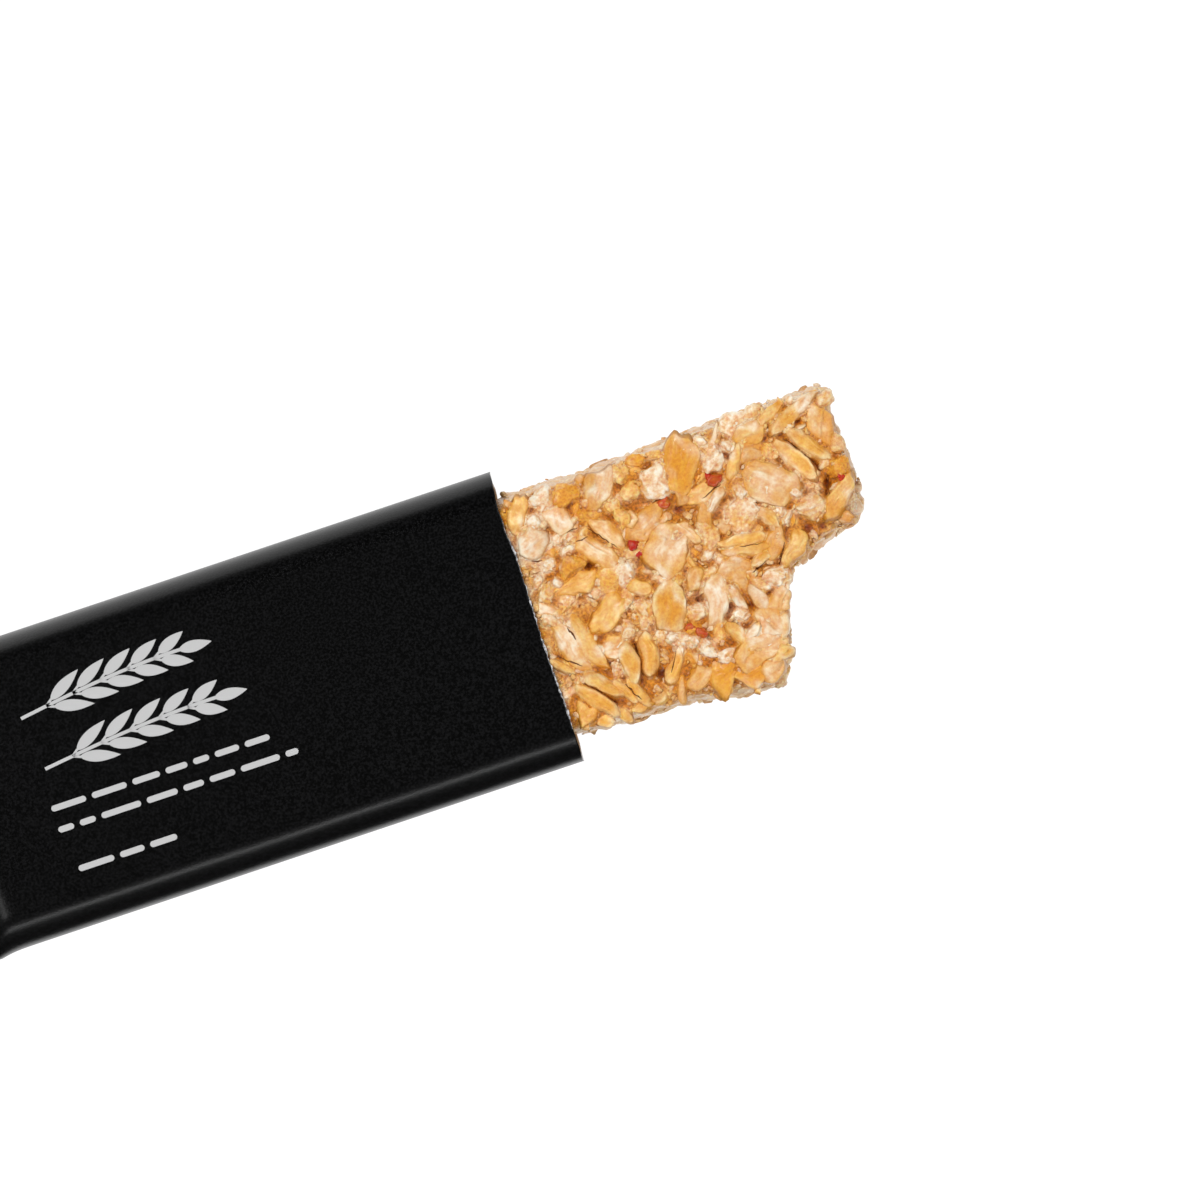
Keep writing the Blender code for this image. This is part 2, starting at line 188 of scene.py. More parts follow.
def outward(obj):
    """Turns the faces of a closed mesh outwards."""
    bm = bmesh.new()
    bm.from_mesh(obj.data)
    bmesh.ops.recalc_face_normals(bm, faces=bm.faces)
    bm.to_mesh(obj.data)
    bm.free()


def ripple(points, wavelength, seed, waves=10):
    """Smooth lumps about a wavelength across, mostly from -1 to 1, at each point."""
    rng = np.random.default_rng(seed)
    aim = rng.normal(size=(waves, 3))
    aim /= np.linalg.norm(aim, axis=1, keepdims=True)
    pitch = 2 * np.pi / (wavelength * rng.uniform(0.75, 1.5, (waves, 1)))
    phase = rng.uniform(0, 2 * np.pi, waves)
    return np.sin(np.asarray(points) @ (aim * pitch).T + phase).sum(1) / np.sqrt(waves)


def ease(t):
    """0 up to t = 0, 1 from t = 1 on, and smooth between."""
    t = np.clip(t, 0.0, 1.0)
    return t * t * (3.0 - 2.0 * t)


print("helpers ready")

# %% [markdown]
# ## Camera
#
# The photo looks straight down, with the bar rising to the right. A long lens keeps the
# pack's sides parallel. The frame's width at the bar's top face sets the distance, and the
# camera rolls so that the pack lies at the photo's slant.

# %% Camera
SLANT = math.radians(18.5)
FRAME_WIDTH = 173.9
AIM = (9.67, -0.66, 13.0)
LENS, SENSOR = 135.0, 36.0

camera_data = bpy.data.cameras.new("camera")
camera_data.lens = LENS
camera_data.sensor_width = SENSOR
camera = bpy.data.objects.new("camera", camera_data)
CAMERA_RISE = FRAME_WIDTH * LENS / SENSOR
camera.location = ((AIM[0] + MOUTH_X) * MM, AIM[1] * MM, (AIM[2] + CAMERA_RISE) * MM)
camera.rotation_euler = (0.0, 0.0, -SLANT)
camera_data.clip_start = 0.01
bpy.context.scene.collection.objects.link(camera)
bpy.context.scene.camera = camera
print(f"camera {CAMERA_RISE:.0f} mm above the bar")

# %% [markdown]
# ## Light and floor
#
# The bar is lit by a large soft light from above and behind, a wider and weaker one from the
# near side that fills the shadows, and a small one that glints on the syrup. The two big ones
# are hidden from glossy surfaces, so the pack's flat top mirrors little but the dark above.
# The pack's rounded edges show what else is in the room: along the far edge the film mirrors
# the white floor, and along the near edge a narrow strip light, with a black card under it
# that keeps the rest of that edge dark. Two more boxes shine on the ends. The floor glows, as
# a light table does, so that it stays white under the pack.


# %% Soft boxes, room, floor and card
def soft_box(name, bearing, rise, distance, size, watts, in_gloss=True):
    """An area light that faces the bar, bearing degrees from +X, rise degrees above the floor."""
    data = bpy.data.lights.new(name, "AREA")
    data.shape = "RECTANGLE"
    data.size, data.size_y = size
    data.energy = watts
    light = bpy.data.objects.new(name, data)
    turn, up = math.radians(bearing), math.radians(rise)
    target = Vector(((MOUTH_X + 10) * MM, 0, 8 * MM))
    away = Vector((math.cos(up) * math.cos(turn), math.cos(up) * math.sin(turn), math.sin(up)))
    light.location = target + away * distance
    light.rotation_euler = away.to_track_quat("Z", "Y").to_euler()
    light.visible_glossy = in_gloss
    bpy.context.scene.collection.objects.link(light)
    return light


def stage_sheet(name, low, high, z, material):
    """A flat rectangle that is part of the studio and not of the object."""
    mesh = bpy.data.meshes.new(name)
    corners = [(x, y, z) for x, y in (low, (high[0], low[1]), high, (low[0], high[1]))]
    mesh.from_pydata(corners, [], [(0, 1, 2, 3)])
    mesh.materials.append(material)
    sheet = bpy.data.objects.new(name, mesh)
    bpy.context.scene.collection.objects.link(sheet)
    return sheet


soft_box("key", 112, 56, 1.1, (0.45, 0.45), 6.15, in_gloss=False)
soft_box("fill", -70, 62, 1.1, (1.0, 1.0), 2.2, in_gloss=False)
soft_box("end_box", 8, 40, 1.0, (0.5, 0.3), 2.0)
soft_box("pack_box", 172, 46, 1.0, (0.5, 0.3), 1.4)
soft_box("near_strip", -90, 33, 0.9, (1.4, 0.1), 3.4)
soft_box("top_box", 95, 87, 1.0, (0.45, 0.3), 0.03)
glint = soft_box("glint", 112, 56, 1.1, (0.2, 0.2), 2.4)

world = bpy.data.worlds.new("room")
world.use_nodes = True
background = world.node_tree.nodes["Background"]
background.inputs["Color"].default_value = (1.0, 1.0, 1.0, 1.0)
background.inputs["Strength"].default_value = 0.055
bpy.context.scene.world = world
bpy.context.scene.view_settings.view_transform = "Standard"

table_white, _, _ = new_material(
    "table_white", Base_Color=rgba("#505050"), Roughness=0.9, Emission_Color=rgba("#ffffff"),
    Emission_Strength=1.0)
card_black, _, _ = new_material("black_card", Base_Color=rgba("#050505"), Roughness=0.9)
FLOOR_HALF, CARD_GAP = 9.0, 0.0045
stage_sheet("floor", (-FLOOR_HALF, -FLOOR_HALF), (FLOOR_HALF, FLOOR_HALF), -0.00002, table_white)
card = stage_sheet("card", (-0.5, -1.5), (0.5, WRAP_LOW.y - CARD_GAP), 0.0002, card_black)
card.visible_camera = card.visible_diffuse = card.visible_shadow = False
card.visible_transmission = False
print("seven soft boxes, a room, a floor and a card")

# %% [markdown]
# ## The film
#
# The pack is a flow wrap: one sheet of black matte polypropylene film, silver inside, made
# into a tube round the bar with a lengthwise seam under it, and pressed flat at the end
# between ribbed jaws that also cut its zigzag edge. A tube with a changing section is a loft:
# rings of points at stations along the pack, joined by quads. The section goes from a
# flat-topped oval to a thin slot as the share called flat goes from 0 to 1.

# %% Film section
HALF_WIDTH, SIDE_ROUND = 22.2, 5.3
FILM_TOP, FILM_LOW = 15.68, 0.37
TUBE_END, TAPER_END = -84.4, -95.0
GUSSET_START, GUSSET_DEPTH = -90.0, 1.0
CRIMP_HALF_WIDTH, CRIMP_HALF_THICK = 25.95, 0.16
RIB_PITCH, RIB_HEIGHT = 1.5, 0.17
TEETH, TOOTH_DEPTH = 26, 1.0
ACROSS = 4 * TEETH + 1  # points across the top, four for each tooth of the cut end
ROUND = 16  # steps round each side
FILM_MIDDLE = (FILM_TOP + FILM_LOW) / 2
DENT_STRETCH, MOUTH_SLACK = 0.6, 7.0  # dents are longer along the pack, and deeper near the mouth


def taper_share(x):
    return np.clip((TUBE_END - x) / (TUBE_END - TAPER_END), 0, 1)


def flattening(x):
    """0 on the tube and 1 on the pressed end."""
    return np.sin(taper_share(x) * np.pi / 2) ** 3


def film_half_height(x):
    """Half the pack's height, which shrinks to the seal's."""
    flat = flattening(x)
    return (1 - flat) * (FILM_TOP - FILM_LOW) / 2 + flat * CRIMP_HALF_THICK


def film_dents(x, y):
    """How far the film dips below its flat top: it lies on lumpy oats and is a little slack."""
    run = np.asarray(x, float).ravel()
    at = np.column_stack([run * DENT_STRETCH, np.asarray(y, float).ravel(), np.zeros(np.size(y))])
    slack = 0.07 + 0.05 * ripple(at, 26, 3) + 0.022 * ripple(at, 7, 4)
    near_mouth = 0.10 * ease(1 + run / MOUTH_SLACK) * (0.6 + 0.8 * ripple(at, 11, 5))
    return np.clip(slack + near_mouth, 0.0, 0.5).reshape(np.shape(y))


def film_ring(x):
    """One ring of (y, z): across the top, down one side, back under, up the other."""
    flat, half_high = flattening(x), film_half_height(x)
    half_wide = HALF_WIDTH + (CRIMP_HALF_WIDTH - HALF_WIDTH) * taper_share(x) ** 3
    side = (1 - flat) * SIDE_ROUND + flat * CRIMP_HALF_THICK
    reach = half_wide - side
    turn = np.pi * np.arange(1, ROUND) / ROUND
    top_y = np.linspace(-reach, reach, ACROSS)
    out, up = side * np.sin(turn), half_high * np.cos(turn)
    level = np.full(ACROSS, half_high)
    y = np.concatenate([top_y, reach + out, top_y[::-1], -reach - out])
    return y, FILM_MIDDLE + np.concatenate([level, up, -level, -up])


print("ring of", len(film_ring(0)[0]), "points")


# %% [markdown]
# Film never lies perfectly smooth. Over the tube it dips by a tenth of a millimetre between
# the oats. Where it narrows to the seal it gathers in lengthwise pleats, deepest half way
# down the slope, and its sides tuck in between the two layers. In the seal both layers follow
# the jaws' ribs together.

# %% Film relief and cut edges
PLEAT_DEPTH = 0.42


def mouth_edge(y, z):
    """Where the torn mouth lies along x: a slow wave with finer nicks on it."""
    at = np.column_stack([y, z, np.zeros(len(y))])
    slow = 0.13 * np.sin(y / 4.1) + 0.05 * ripple(at, 5, 21)
    nicks = 0.05 * ripple(at, 0.9, 22)
    share = y / HALF_WIDTH
    corners = 0.42 * ease((share - 0.7) / 0.3) - 0.08 * ease((-share - 0.75) / 0.25)
    return slow + nicks + corners


def film_relief(x, y, z):
    """Moves a ring's points for dents, gussets, pleats and ribs. Returns the new y and z."""
    flat, above = flattening(x), z - FILM_MIDDLE
    facing = np.clip(above / (FILM_TOP - FILM_MIDDLE), -1, 1)
    toward_seal = np.clip((GUSSET_START - x) / (GUSSET_START - TAPER_END), 0, 1)
    level = np.clip(np.abs(above) / film_half_height(x), 0, 1)
    tuck = GUSSET_DEPTH * np.sin(np.pi * toward_seal) * (1 - level) ** 1.3
    y = y - np.sign(y) * tuck
    dents = film_dents(np.full(len(y), x), y)
    z = z - np.where(above > 0, dents * facing ** 2 * (1 - flat), 0)
    slope = ease((TUBE_END - x) / 5) * ease((x - TAPER_END + 1.5) / 5)
    at = np.column_stack([y, np.full(len(y), x * 0.12), z * 0.02])
    pleats = np.abs(ripple(at, 7.5, 31)) * 0.6 + np.abs(ripple(at, 3.2, 32)) * 0.25
    gathered = PLEAT_DEPTH * slope * np.clip(pleats, 0, 1.6) * np.abs(facing) ** 0.3
    z = z - np.sign(z - FILM_MIDDLE) * gathered
    pressed = ease((TAPER_END + 0.6 - x) / 1.2) * ease((x - PACK_END - 0.7) / 0.7)
    return y, z + pressed * RIB_HEIGHT * np.sin(2 * np.pi * (x - TAPER_END) / RIB_PITCH)


def stations():
    """Where the rings lie along x: close together at the mouth, the taper and the ribs."""
    mouth = [0.0, -0.25, -0.6, -1.1, -1.8, -2.7, -4.0]
    tube = np.linspace(-6.0, TUBE_END + 8, 26)
    taper = np.linspace(TUBE_END + 7, TAPER_END, 24)
    crimp = np.linspace(TAPER_END - 0.25, PACK_END + TOOTH_DEPTH + 0.05, 46)
    return np.concatenate([mouth, tube, taper, crimp, [PACK_END + 0.02]])


print(len(stations()), "rings")

# %% [markdown]
# Black matte film is a plastic that reflects like any plastic, about four percent, through a
# finely pebbled surface, so its highlights are wide and grey. The pebbles are finer than a
# pixel. They are drawn at a third of a millimetre, coarse enough to show as the faint speckle
# of the photo. The inside has a vapour-thin coat of aluminium: a soft mirror.

# %% Film materials
SPECKLE_MM, CLOUD_MM, CREASE_MM = 0.33, 14.0, 2.5


def matte_film():
    made, tree, shader = new_material("matte_black_polypropylene", Roughness=0.3, IOR=1.5,
                                      Specular_IOR_Level=0.3)
    speckle = noise(tree, SPECKLE_MM, 2.0)
    film_colour = two_tone(tree, speckle, 0.42, 0.66, "#000000", "#131314")
    tree.links.new(film_colour, shader.inputs["Base Color"])
    sheen = add_node(tree, "ShaderNodeMapRange", {"Value": noise(tree, CLOUD_MM, 3.0)},
                     To_Min=0.28, To_Max=0.33)
    tree.links.new(sheen.outputs["Result"], shader.inputs["Roughness"])
    bump(tree, shader, speckle, 0.6, 0.03)
    return made


def metallised_lining():
    made, tree, shader = new_material("metallised_lining", Base_Color=rgba("#c9c9cb"),
                                      Metallic=0.9, Roughness=0.32)
    bump(tree, shader, noise(tree, CREASE_MM, 4.0), 0.4, 0.08)
    return made


film_black = matte_film()
film_silver = metallised_lining()
print(film_black.name, film_silver.name)


# %% [markdown]
# The loft is closed at the sealed end, where the top and the bottom row of points are joined
# across the cut, and open at the mouth. A Solidify modifier then gives the sheet its
# thickness inwards, and puts the silver material on the inside.

# %% Build the film
FILM_THICK = 0.09


def loft_film():
    count = 2 * ACROSS + 2 * (ROUND - 1)
    tooth = np.abs((np.arange(ACROSS) % 4) - 2) / 2  # 1 at a tooth's root, 0 at its tip
    tooth_ring = np.concatenate([tooth, np.full(ROUND - 1, tooth[-1]), tooth[::-1],
                                 np.full(ROUND - 1, tooth[0])])
    rings = []
    for x in stations():
        y, z = film_ring(x)
        near_mouth = ease(1 + x / 3.0)
        xs = np.full(count, x) + near_mouth * mouth_edge(y, z)
        if x < PACK_END + 0.1:
            xs = xs + TOOTH_DEPTH * tooth_ring
        rings.append(np.column_stack([xs, *film_relief(x, y, z)]))
    faces = ring_faces(len(rings), count)
    last = (len(rings) - 1) * count
    under = last + ACROSS + ROUND - 1
    for i in range(ACROSS - 1):
        faces.append((last + i, under + ACROSS - 1 - i, under + ACROSS - 2 - i, last + i + 1))
    left = [last + 2 * ACROSS + ROUND - 1 + k for k in range(ROUND - 1)]
    right = [last + ACROSS + k for k in range(ROUND - 1)]
    faces.append([last, *reversed(left), under + ACROSS - 1])
    faces.append([last + ACROSS - 1, under, *reversed(right)])
    return np.concatenate(rings), faces


film = mesh_from("film", *loft_film(), [film_black, film_silver])
outward(film)
walls = film.modifiers.new("walls", "SOLIDIFY")
walls.thickness = FILM_THICK * MM
walls.offset = -1.0
walls.material_offset = 1
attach(film, "root")
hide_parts("wrapper")
print("film:", len(film.data.polygons), "quads before its thickness")


# %% [markdown]
# Where the pack was torn open, the clear and silver layers stretch a little past the black
# one and turn white. It is a hair-thin ragged line, but it is what makes the edge read as
# torn film. It is a ribbon that follows the mouth over the pack's top, wider here and there,
# and gone where the tear ran clean.

# %% Torn edge
TORN_SPAN, TORN_STEPS = (15.5, -17.0), 900
SHRED_MM = 0.6


def ribbon(one, other, thick):
    """A closed strip between two runs of points, thick millimetres deep."""
    down = np.array([0, 0, thick])
    return closed_loft(np.stack([one, other, other - down, one - down], axis=1))


def torn_edge():
    y = np.linspace(*TORN_SPAN, TORN_STEPS)
    z = np.full(TORN_STEPS, FILM_TOP)
    _, z = film_relief(0.0, y, z)
    spot = np.column_stack([y, z, np.zeros(TORN_STEPS)])
    burr = np.clip(ripple(spot, 1.7, 43) - 1.0, 0, 1)
    width = 0.05 + 0.15 * ripple(spot, 3.4, 41) + 0.08 * ripple(spot, 0.6, 42) + 0.3 * burr
    ends = ease((TORN_SPAN[0] - y) / 6.0) * ease((y - TORN_SPAN[1]) / 1.0)
    width = np.clip(width, 0.0, 0.45) * ends + 0.012
    edge = mouth_edge(y, z)
    back = 0.02 + 0.35 * width
    inner = np.column_stack([edge - back, y, z + 0.012])
    rise = 0.25 * burr * width - 0.12 * width - 0.02
    outer = np.column_stack([edge + 0.015 + width, y, z + rise])
    return ribbon(inner, outer, 0.02)


def torn_film():
    made, tree, shader = new_material("stress_whitened_film", Roughness=0.4, Metallic=0.1)
    grey = two_tone(tree, noise(tree, SHRED_MM, 3.0), 0.4, 0.6, "#77777b", "#e6e6e9")
    tree.links.new(grey, shader.inputs["Base Color"])
    return made


torn = mesh_from("torn_edge", *torn_edge(), [torn_film()])
outward(torn)
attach(torn, "root")
print("torn edge:", len(torn.data.polygons), "faces")


# %% [markdown]
# Under the pack the two edges of the sheet are sealed face to face into a fin, and the fin is
# folded flat against the pack. It carries the pack's weight. It is a thin strip that runs from
# the mouth to the pressed end and rises with the film there.

# %% Lengthwise seam
FIN = (-3.0, 7.0)
FIN_THICK, FIN_COLUMNS = 0.26, 21


def fin_strip():
    xs = np.concatenate([[-0.15, -0.6], np.arange(-1.5, TUBE_END, -1.5),
                         np.linspace(TUBE_END - 1, TAPER_END, 9)])
    ys = np.linspace(*FIN, FIN_COLUMNS)
    press = 0.03 * np.sin(2 * np.pi * ys / 1.0)
    rings = []
    for x in xs:
        top = FILM_MIDDLE - film_half_height(x) - 0.05 + press * 0.3
        low = top - FIN_THICK * (1 - 0.6 * flattening(x)) - press
        along = np.full(FIN_COLUMNS, x)
        rings.append(np.vstack([np.column_stack([along, ys, top]),
                                np.column_stack([along, ys, low])[::-1]]))
    return closed_loft(rings)


fin = mesh_from("fin_seal", *fin_strip(), [film_black])
outward(fin)
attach(fin, "root")
print("fin seal:", len(fin.data.polygons), "faces")


# %% [markdown]
# ## Print
#
# Pale grey ink on the film. The pack carries two generic sprigs of oats and, under them,
# short bars where small type would be. Each shape is a thin patch of mesh that lies on the
# film, with its height read from the same function as the film's own dents.

# %% Print shapes
INK_LIFT = 0.02


def on_film(x, y):
    """Points on the film's flat top at these places."""
    x, y = np.asarray(x, float), np.asarray(y, float)
    return np.column_stack([x, y, FILM_TOP - film_dents(x, y) + INK_LIFT])


def strip_patch(x0, y0, x1, y1):
    """Quads between two rows of places on the film."""
    n = len(x0)
    points = on_film(np.concatenate([x0, x1]), np.concatenate([y0, y1]))
    return points, [(i, i + 1, n + i + 1, n + i) for i in range(n - 1)]


def leaf_patch(x, y, length, width, heading):
    """A pointed grain, as a grid of points that closes at both tips."""
    u = np.linspace(0, 1, 13)[:, None]
    v = np.linspace(-1, 1, 5)[None, :]
    span = width / 2 * np.sin(np.pi * u ** 0.8) ** 0.9
    local_x, local_y = (u * length + 0 * v).ravel(), (span * v).ravel()
    c, s = math.cos(heading), math.sin(heading)
    points = on_film(x + local_x * c - local_y * s, y + local_x * s + local_y * c)
    faces = [(5 * i + j, 5 * i + 5 + j, 5 * i + 6 + j, 5 * i + 1 + j)
             for i in range(12) for j in range(4)]
    return points, faces


def bar_patch(x0, x1, y, high):
    """A bar with round ends between two places along x."""
    round_end = high / 2 * (1 - np.cos(np.linspace(0, np.pi / 2, 7)))
    straight = np.linspace(x0 + high, x1 - high, 4)
    x = np.concatenate([x0 + round_end, straight, x1 - round_end[::-1]])
    from_end = np.clip(np.minimum(x - x0, x1 - x) / (high / 2), 0, 1)
    half = high / 2 * np.sqrt(np.clip(1 - (1 - from_end) ** 2, 0.02, 1))
    return strip_patch(x, y - half, x, y + half)


def stroke_patch(xs, ys, width):
    """A line of even width through these places."""
    xs, ys = np.asarray(xs, float), np.asarray(ys, float)
    way = np.column_stack([np.gradient(xs), np.gradient(ys)])
    way /= np.linalg.norm(way, axis=1, keepdims=True)
    off_x, off_y = -way[:, 1] * width / 2, way[:, 0] * width / 2
    return strip_patch(xs + off_x, ys + off_y, xs - off_x, ys - off_y)


print("print shapes ready")

# %% Lay out the print
SPRIGS = [  # x and y of the foot, length, rise of the stem, pairs of grains
    (-75.0, 9.6, 29.0, 2.2, 5), (-74.0, 1.6, 31.0, 2.0, 5),
]
SMALL_ROWS = [(-75.0, -41.0, -4.2), (-75.0, -38.5, -7.4), (-74.0, -58.5, -13.6)]
SMALL_HIGH, SMALL_GAP = 0.9, 0.9


def sprig(foot_x, foot_y, length, rise, pairs):
    """A stem with grains on both sides, as patches."""
    def stem(t):
        return foot_x + length * t, foot_y + rise * np.sin(1.9 * t)

    patches = [stroke_patch(*stem(np.linspace(0, 0.86, 60)), 0.5)]
    for i in range(pairs):
        share = 0.14 + 0.145 * i
        x, y = stem(share)
        slope = math.atan2(rise * 1.9 * math.cos(1.9 * share), length)
        for side in (1, -1):
            lean = slope + side * math.radians(30)
            stalk, c, s = np.linspace(0, 1.2, 8), math.cos(lean), math.sin(lean)
            patches.append(stroke_patch(x + stalk * c, y + stalk * s, 0.36))
            foot = (x + c, y + s)
            patches.append(leaf_patch(*foot, 6.0 - 0.3 * i, 1.7, lean - side * math.radians(8)))
    patches.append(leaf_patch(*stem(0.85), 5.0, 1.7, math.radians(-3)))
    return patches


def small_rows():
    rng = np.random.default_rng(5)
    patches = []
    for start, stop, y in SMALL_ROWS:
        x = start
        while x < stop - 1.5:
            end = min(stop, x + rng.uniform(2.2, 6.0))
            patches.append(bar_patch(x, end, y, SMALL_HIGH))
            x = end + SMALL_GAP
    return patches


def joined(patches):
    points, faces, offset = [], [], 0
    for some, indices in patches:
        points.append(some)
        faces += [tuple(offset + k for k in face) for face in indices]
        offset += len(some)
    return np.concatenate(points), faces


ink_grey, _, _ = new_material("pale_grey_ink", Base_Color=rgba("#cbcbcb"), Roughness=0.55)
printed = [patch for row in SPRIGS for patch in sprig(*row)] + small_rows()
ink = mesh_from("print", *joined(printed), [ink_grey])
ink_walls = ink.modifiers.new("ink", "SOLIDIFY")
ink_walls.thickness = 0.012 * MM
ink.data.shade_flat()
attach(ink, "root")
print("print:", len(ink.data.polygons), "faces")

# %% [markdown]
# ## The bar's shape
#
# The bar was cut from a pressed slab. Its sides stand nearly upright, a little wider at the
# foot, and its free end is a ragged break with one corner gone. The outline seen from above
# is a smooth curve through a few corners, the same ones the solid model has.

# %% Outline and core
CORNERS = [
    (1.0, 18.5), (8.0, 18.4), (14.0, 18.2), (25.0, 18.8), (31.0, 19.1), (38.0, 19.2),
    (44.0, 19.2), (50.2, 18.8), (50.1, 14.5), (50.5, 8.0), (50.7, 3.0), (49.6, 0.1), (46.8, -1.8),
    (42.5, -3.4), (38.6, -4.5), (36.1, -6.9), (34.8, -9.6), (34.1, -13.0), (33.4, -15.6),
    (32.1, -18.6), (30.6, -21.0), (25.5, -20.9), (19.0, -19.5), (10.0, -19.1), (1.0, -18.6),
]
CORE_LOW, CORE_TOP = 0.9, 14.55
INSIDE_END = -7.0
PROFILE_SHARE = [0.0, 0.05, 0.16, 0.45, 0.72, 0.9, 1.0]
PROFILE_INSET = [1.6, 0.6, 0.1, 0.35, 0.75, 1.2, 2.4]


def smooth_run(corners, step):
    """Points about step apart on a Catmull-Rom curve through a list of corners."""
    corners = np.asarray(corners, float)
    padded = np.vstack([corners[:1], corners, corners[-1:]])
    found = []
    for i in range(len(corners) - 1):
        p0, p1, p2, p3 = padded[i:i + 4]
        pieces = max(1, round(np.linalg.norm(p2 - p1) / step))
        t = np.arange(pieces)[:, None] / pieces
        found.append(0.5 * (2 * p1 + (p2 - p0) * t + (2 * p0 - 5 * p1 + 4 * p2 - p3) * t ** 2
                            + (3 * p1 - p0 - 3 * p2 + p3) * t ** 3))
    return np.vstack([*found, corners[-1:]])


def inward(points):
    """Unit vectors in plan towards the bar's middle line."""
    spine_x = np.minimum(points[:, 0], 34.0)
    spine_y = 5.0 * ease(points[:, 0] / 40)
    way = np.column_stack([spine_x, spine_y]) - points
    return way / np.linalg.norm(way, axis=1, keepdims=True)


OUTLINE = smooth_run(CORNERS, 0.9)
OUTLINE_RUN = np.gradient(OUTLINE, axis=0)
OUTLINE_OUT = np.column_stack([-OUTLINE_RUN[:, 1], OUTLINE_RUN[:, 0]])
OUTLINE_OUT /= np.linalg.norm(OUTLINE_OUT, axis=1, keepdims=True)


def on_break(x, y):
    """1 along the ragged end and 0 along the cut sides."""
    return ease((x - 31) / 2) * ease((17 - y) / 1.5)


def core_mesh():
    """The bar without its pieces, from just inside the wrapper to the break."""
    hidden = np.array([(-1.0, -18.4), (INSIDE_END, -17.9), (INSIDE_END, 17.9), (-1.0, 18.4)])
    loop = np.vstack([OUTLINE, hidden])
    way = inward(loop)
    shares = np.concatenate([[0, 0.03, 0.08], np.linspace(0.16, 0.9, 9), [0.96, 1.0]])
    rings = []
    for share in shares:
        inset = np.interp(share, PROFILE_SHARE, PROFILE_INSET)
        z = CORE_LOW + share * (CORE_TOP - CORE_LOW)
        at = np.column_stack([loop, np.full(len(loop), z * 1.3)])
        rough = ease(loop[:, 0] / 4) * (0.45 * ripple(at, 6, 51) + 0.2 * ripple(at, 2.4, 52))
        broken = ease((loop[:, 0] - 30) / 4) * ease((19.5 - loop[:, 1]) / 3)
        rough = rough * (0.45 + 1.0 * broken)
        moved = loop + way * (inset + rough)[:, None]
        rings.append(np.column_stack([moved, np.full(len(loop), z)]))
    return closed_loft(rings)


core_points, core_faces = core_mesh()
print("core:", len(core_points), "points")

# %% [markdown]
# ## Oats, puffs and crumbs
#
# A rolled oat is a steamed groat squeezed flat between rollers: an oval flake a millimetre
# or so thick, with a blunt rim and faint ribs from the bran. Many are split lengthwise or
# broken into angular bits, and all are soaked with syrup, which leaves the heart pale and
# the rim amber. One function makes them all, from a round grid of points whose outline,
# ribs and bend are drawn for each flake.

# %% Shades and grids
SHADES = {  # heart and rim of each kind of piece
    "cream": ("#f4deb6", "#e9ba70"), "golden": ("#f4c672", "#f9e0a8"),
    "amber": ("#e5a03a", "#f1c06a"), "white": ("#fdf4de", "#f2dcb0"),
    "tan": ("#e6c496", "#d9a45c"), "straw": ("#f7d996", "#efbf68"),
}
# This brown is real toasting on some flakes, and also painted warm shade on flake rims and
# undersides, on puff undersides and in the hollows between a puff's grains.
TOAST_AND_SHADE = linear("#b8741c")
# This amber is syrup stain where pieces come out of the skin, and also painted warm shade at that
# waterline.
STAIN_AND_SHADE = linear("#dc9020")


def disc_grid(segments, top_rings, under_rings):
    """Polar points of a closed lens: (radius, angle, side) and its triangles."""
    turn = 2 * np.pi * np.arange(segments) / segments
    rings = [(r, 1.0) for r in top_rings] + [(1.0, 0.0)] + [(r, -1.0) for r in under_rings]
    radius = np.concatenate([[0.0], *[np.full(segments, r) for r, _ in rings], [0.0]])
    side = np.concatenate([[1.0], *[np.full(segments, s) for _, s in rings], [-1.0]])
    angle = np.concatenate([[0.0], *[turn for _ in rings], [0.0]])
    i = np.arange(segments)
    j = (i + 1) % segments
    faces = [np.column_stack([np.zeros(segments, int), 1 + i, 1 + j])]
    for ring in range(len(rings) - 1):
        a, b = 1 + ring * segments, 1 + (ring + 1) * segments
        faces.append(np.column_stack([a + i, b + i, b + j]))
        faces.append(np.column_stack([a + i, b + j, a + j]))
    last, end = 1 + (len(rings) - 1) * segments, 1 + len(rings) * segments
    faces.append(np.column_stack([last + i, np.full(segments, end), last + j]))
    return radius, angle, side, np.concatenate(faces)


FINE_GRID = disc_grid(44, [0.14, 0.28, 0.42, 0.55, 0.67, 0.78, 0.87, 0.94, 0.985], [1.12, 0.5])
MIDDLE_GRID = disc_grid(28, [0.25, 0.5, 0.7, 0.85, 0.96], [1.12, 0.45])
COARSE_GRID = disc_grid(16, [0.4, 0.75, 0.94], [1.12])
print("triangles in a flake:", [len(g[3]) for g in (FINE_GRID, MIDDLE_GRID, COARSE_GRID)])


# %% Shape one flake
def corners_reach(angle, corners, rng, hard=8.0):
    """How far a rounded polygon of unit size reaches at each angle."""
    turn = 2 * np.pi * (np.arange(corners) + rng.uniform(-0.3, 0.3, corners)) / corners
    far = rng.uniform(0.78, 1.05, corners)
    lobes = np.clip(np.cos(angle[:, None] - turn - rng.uniform(0, 6.3)), 0, None) / far
    return (lobes ** hard).sum(1) ** (-1 / hard)


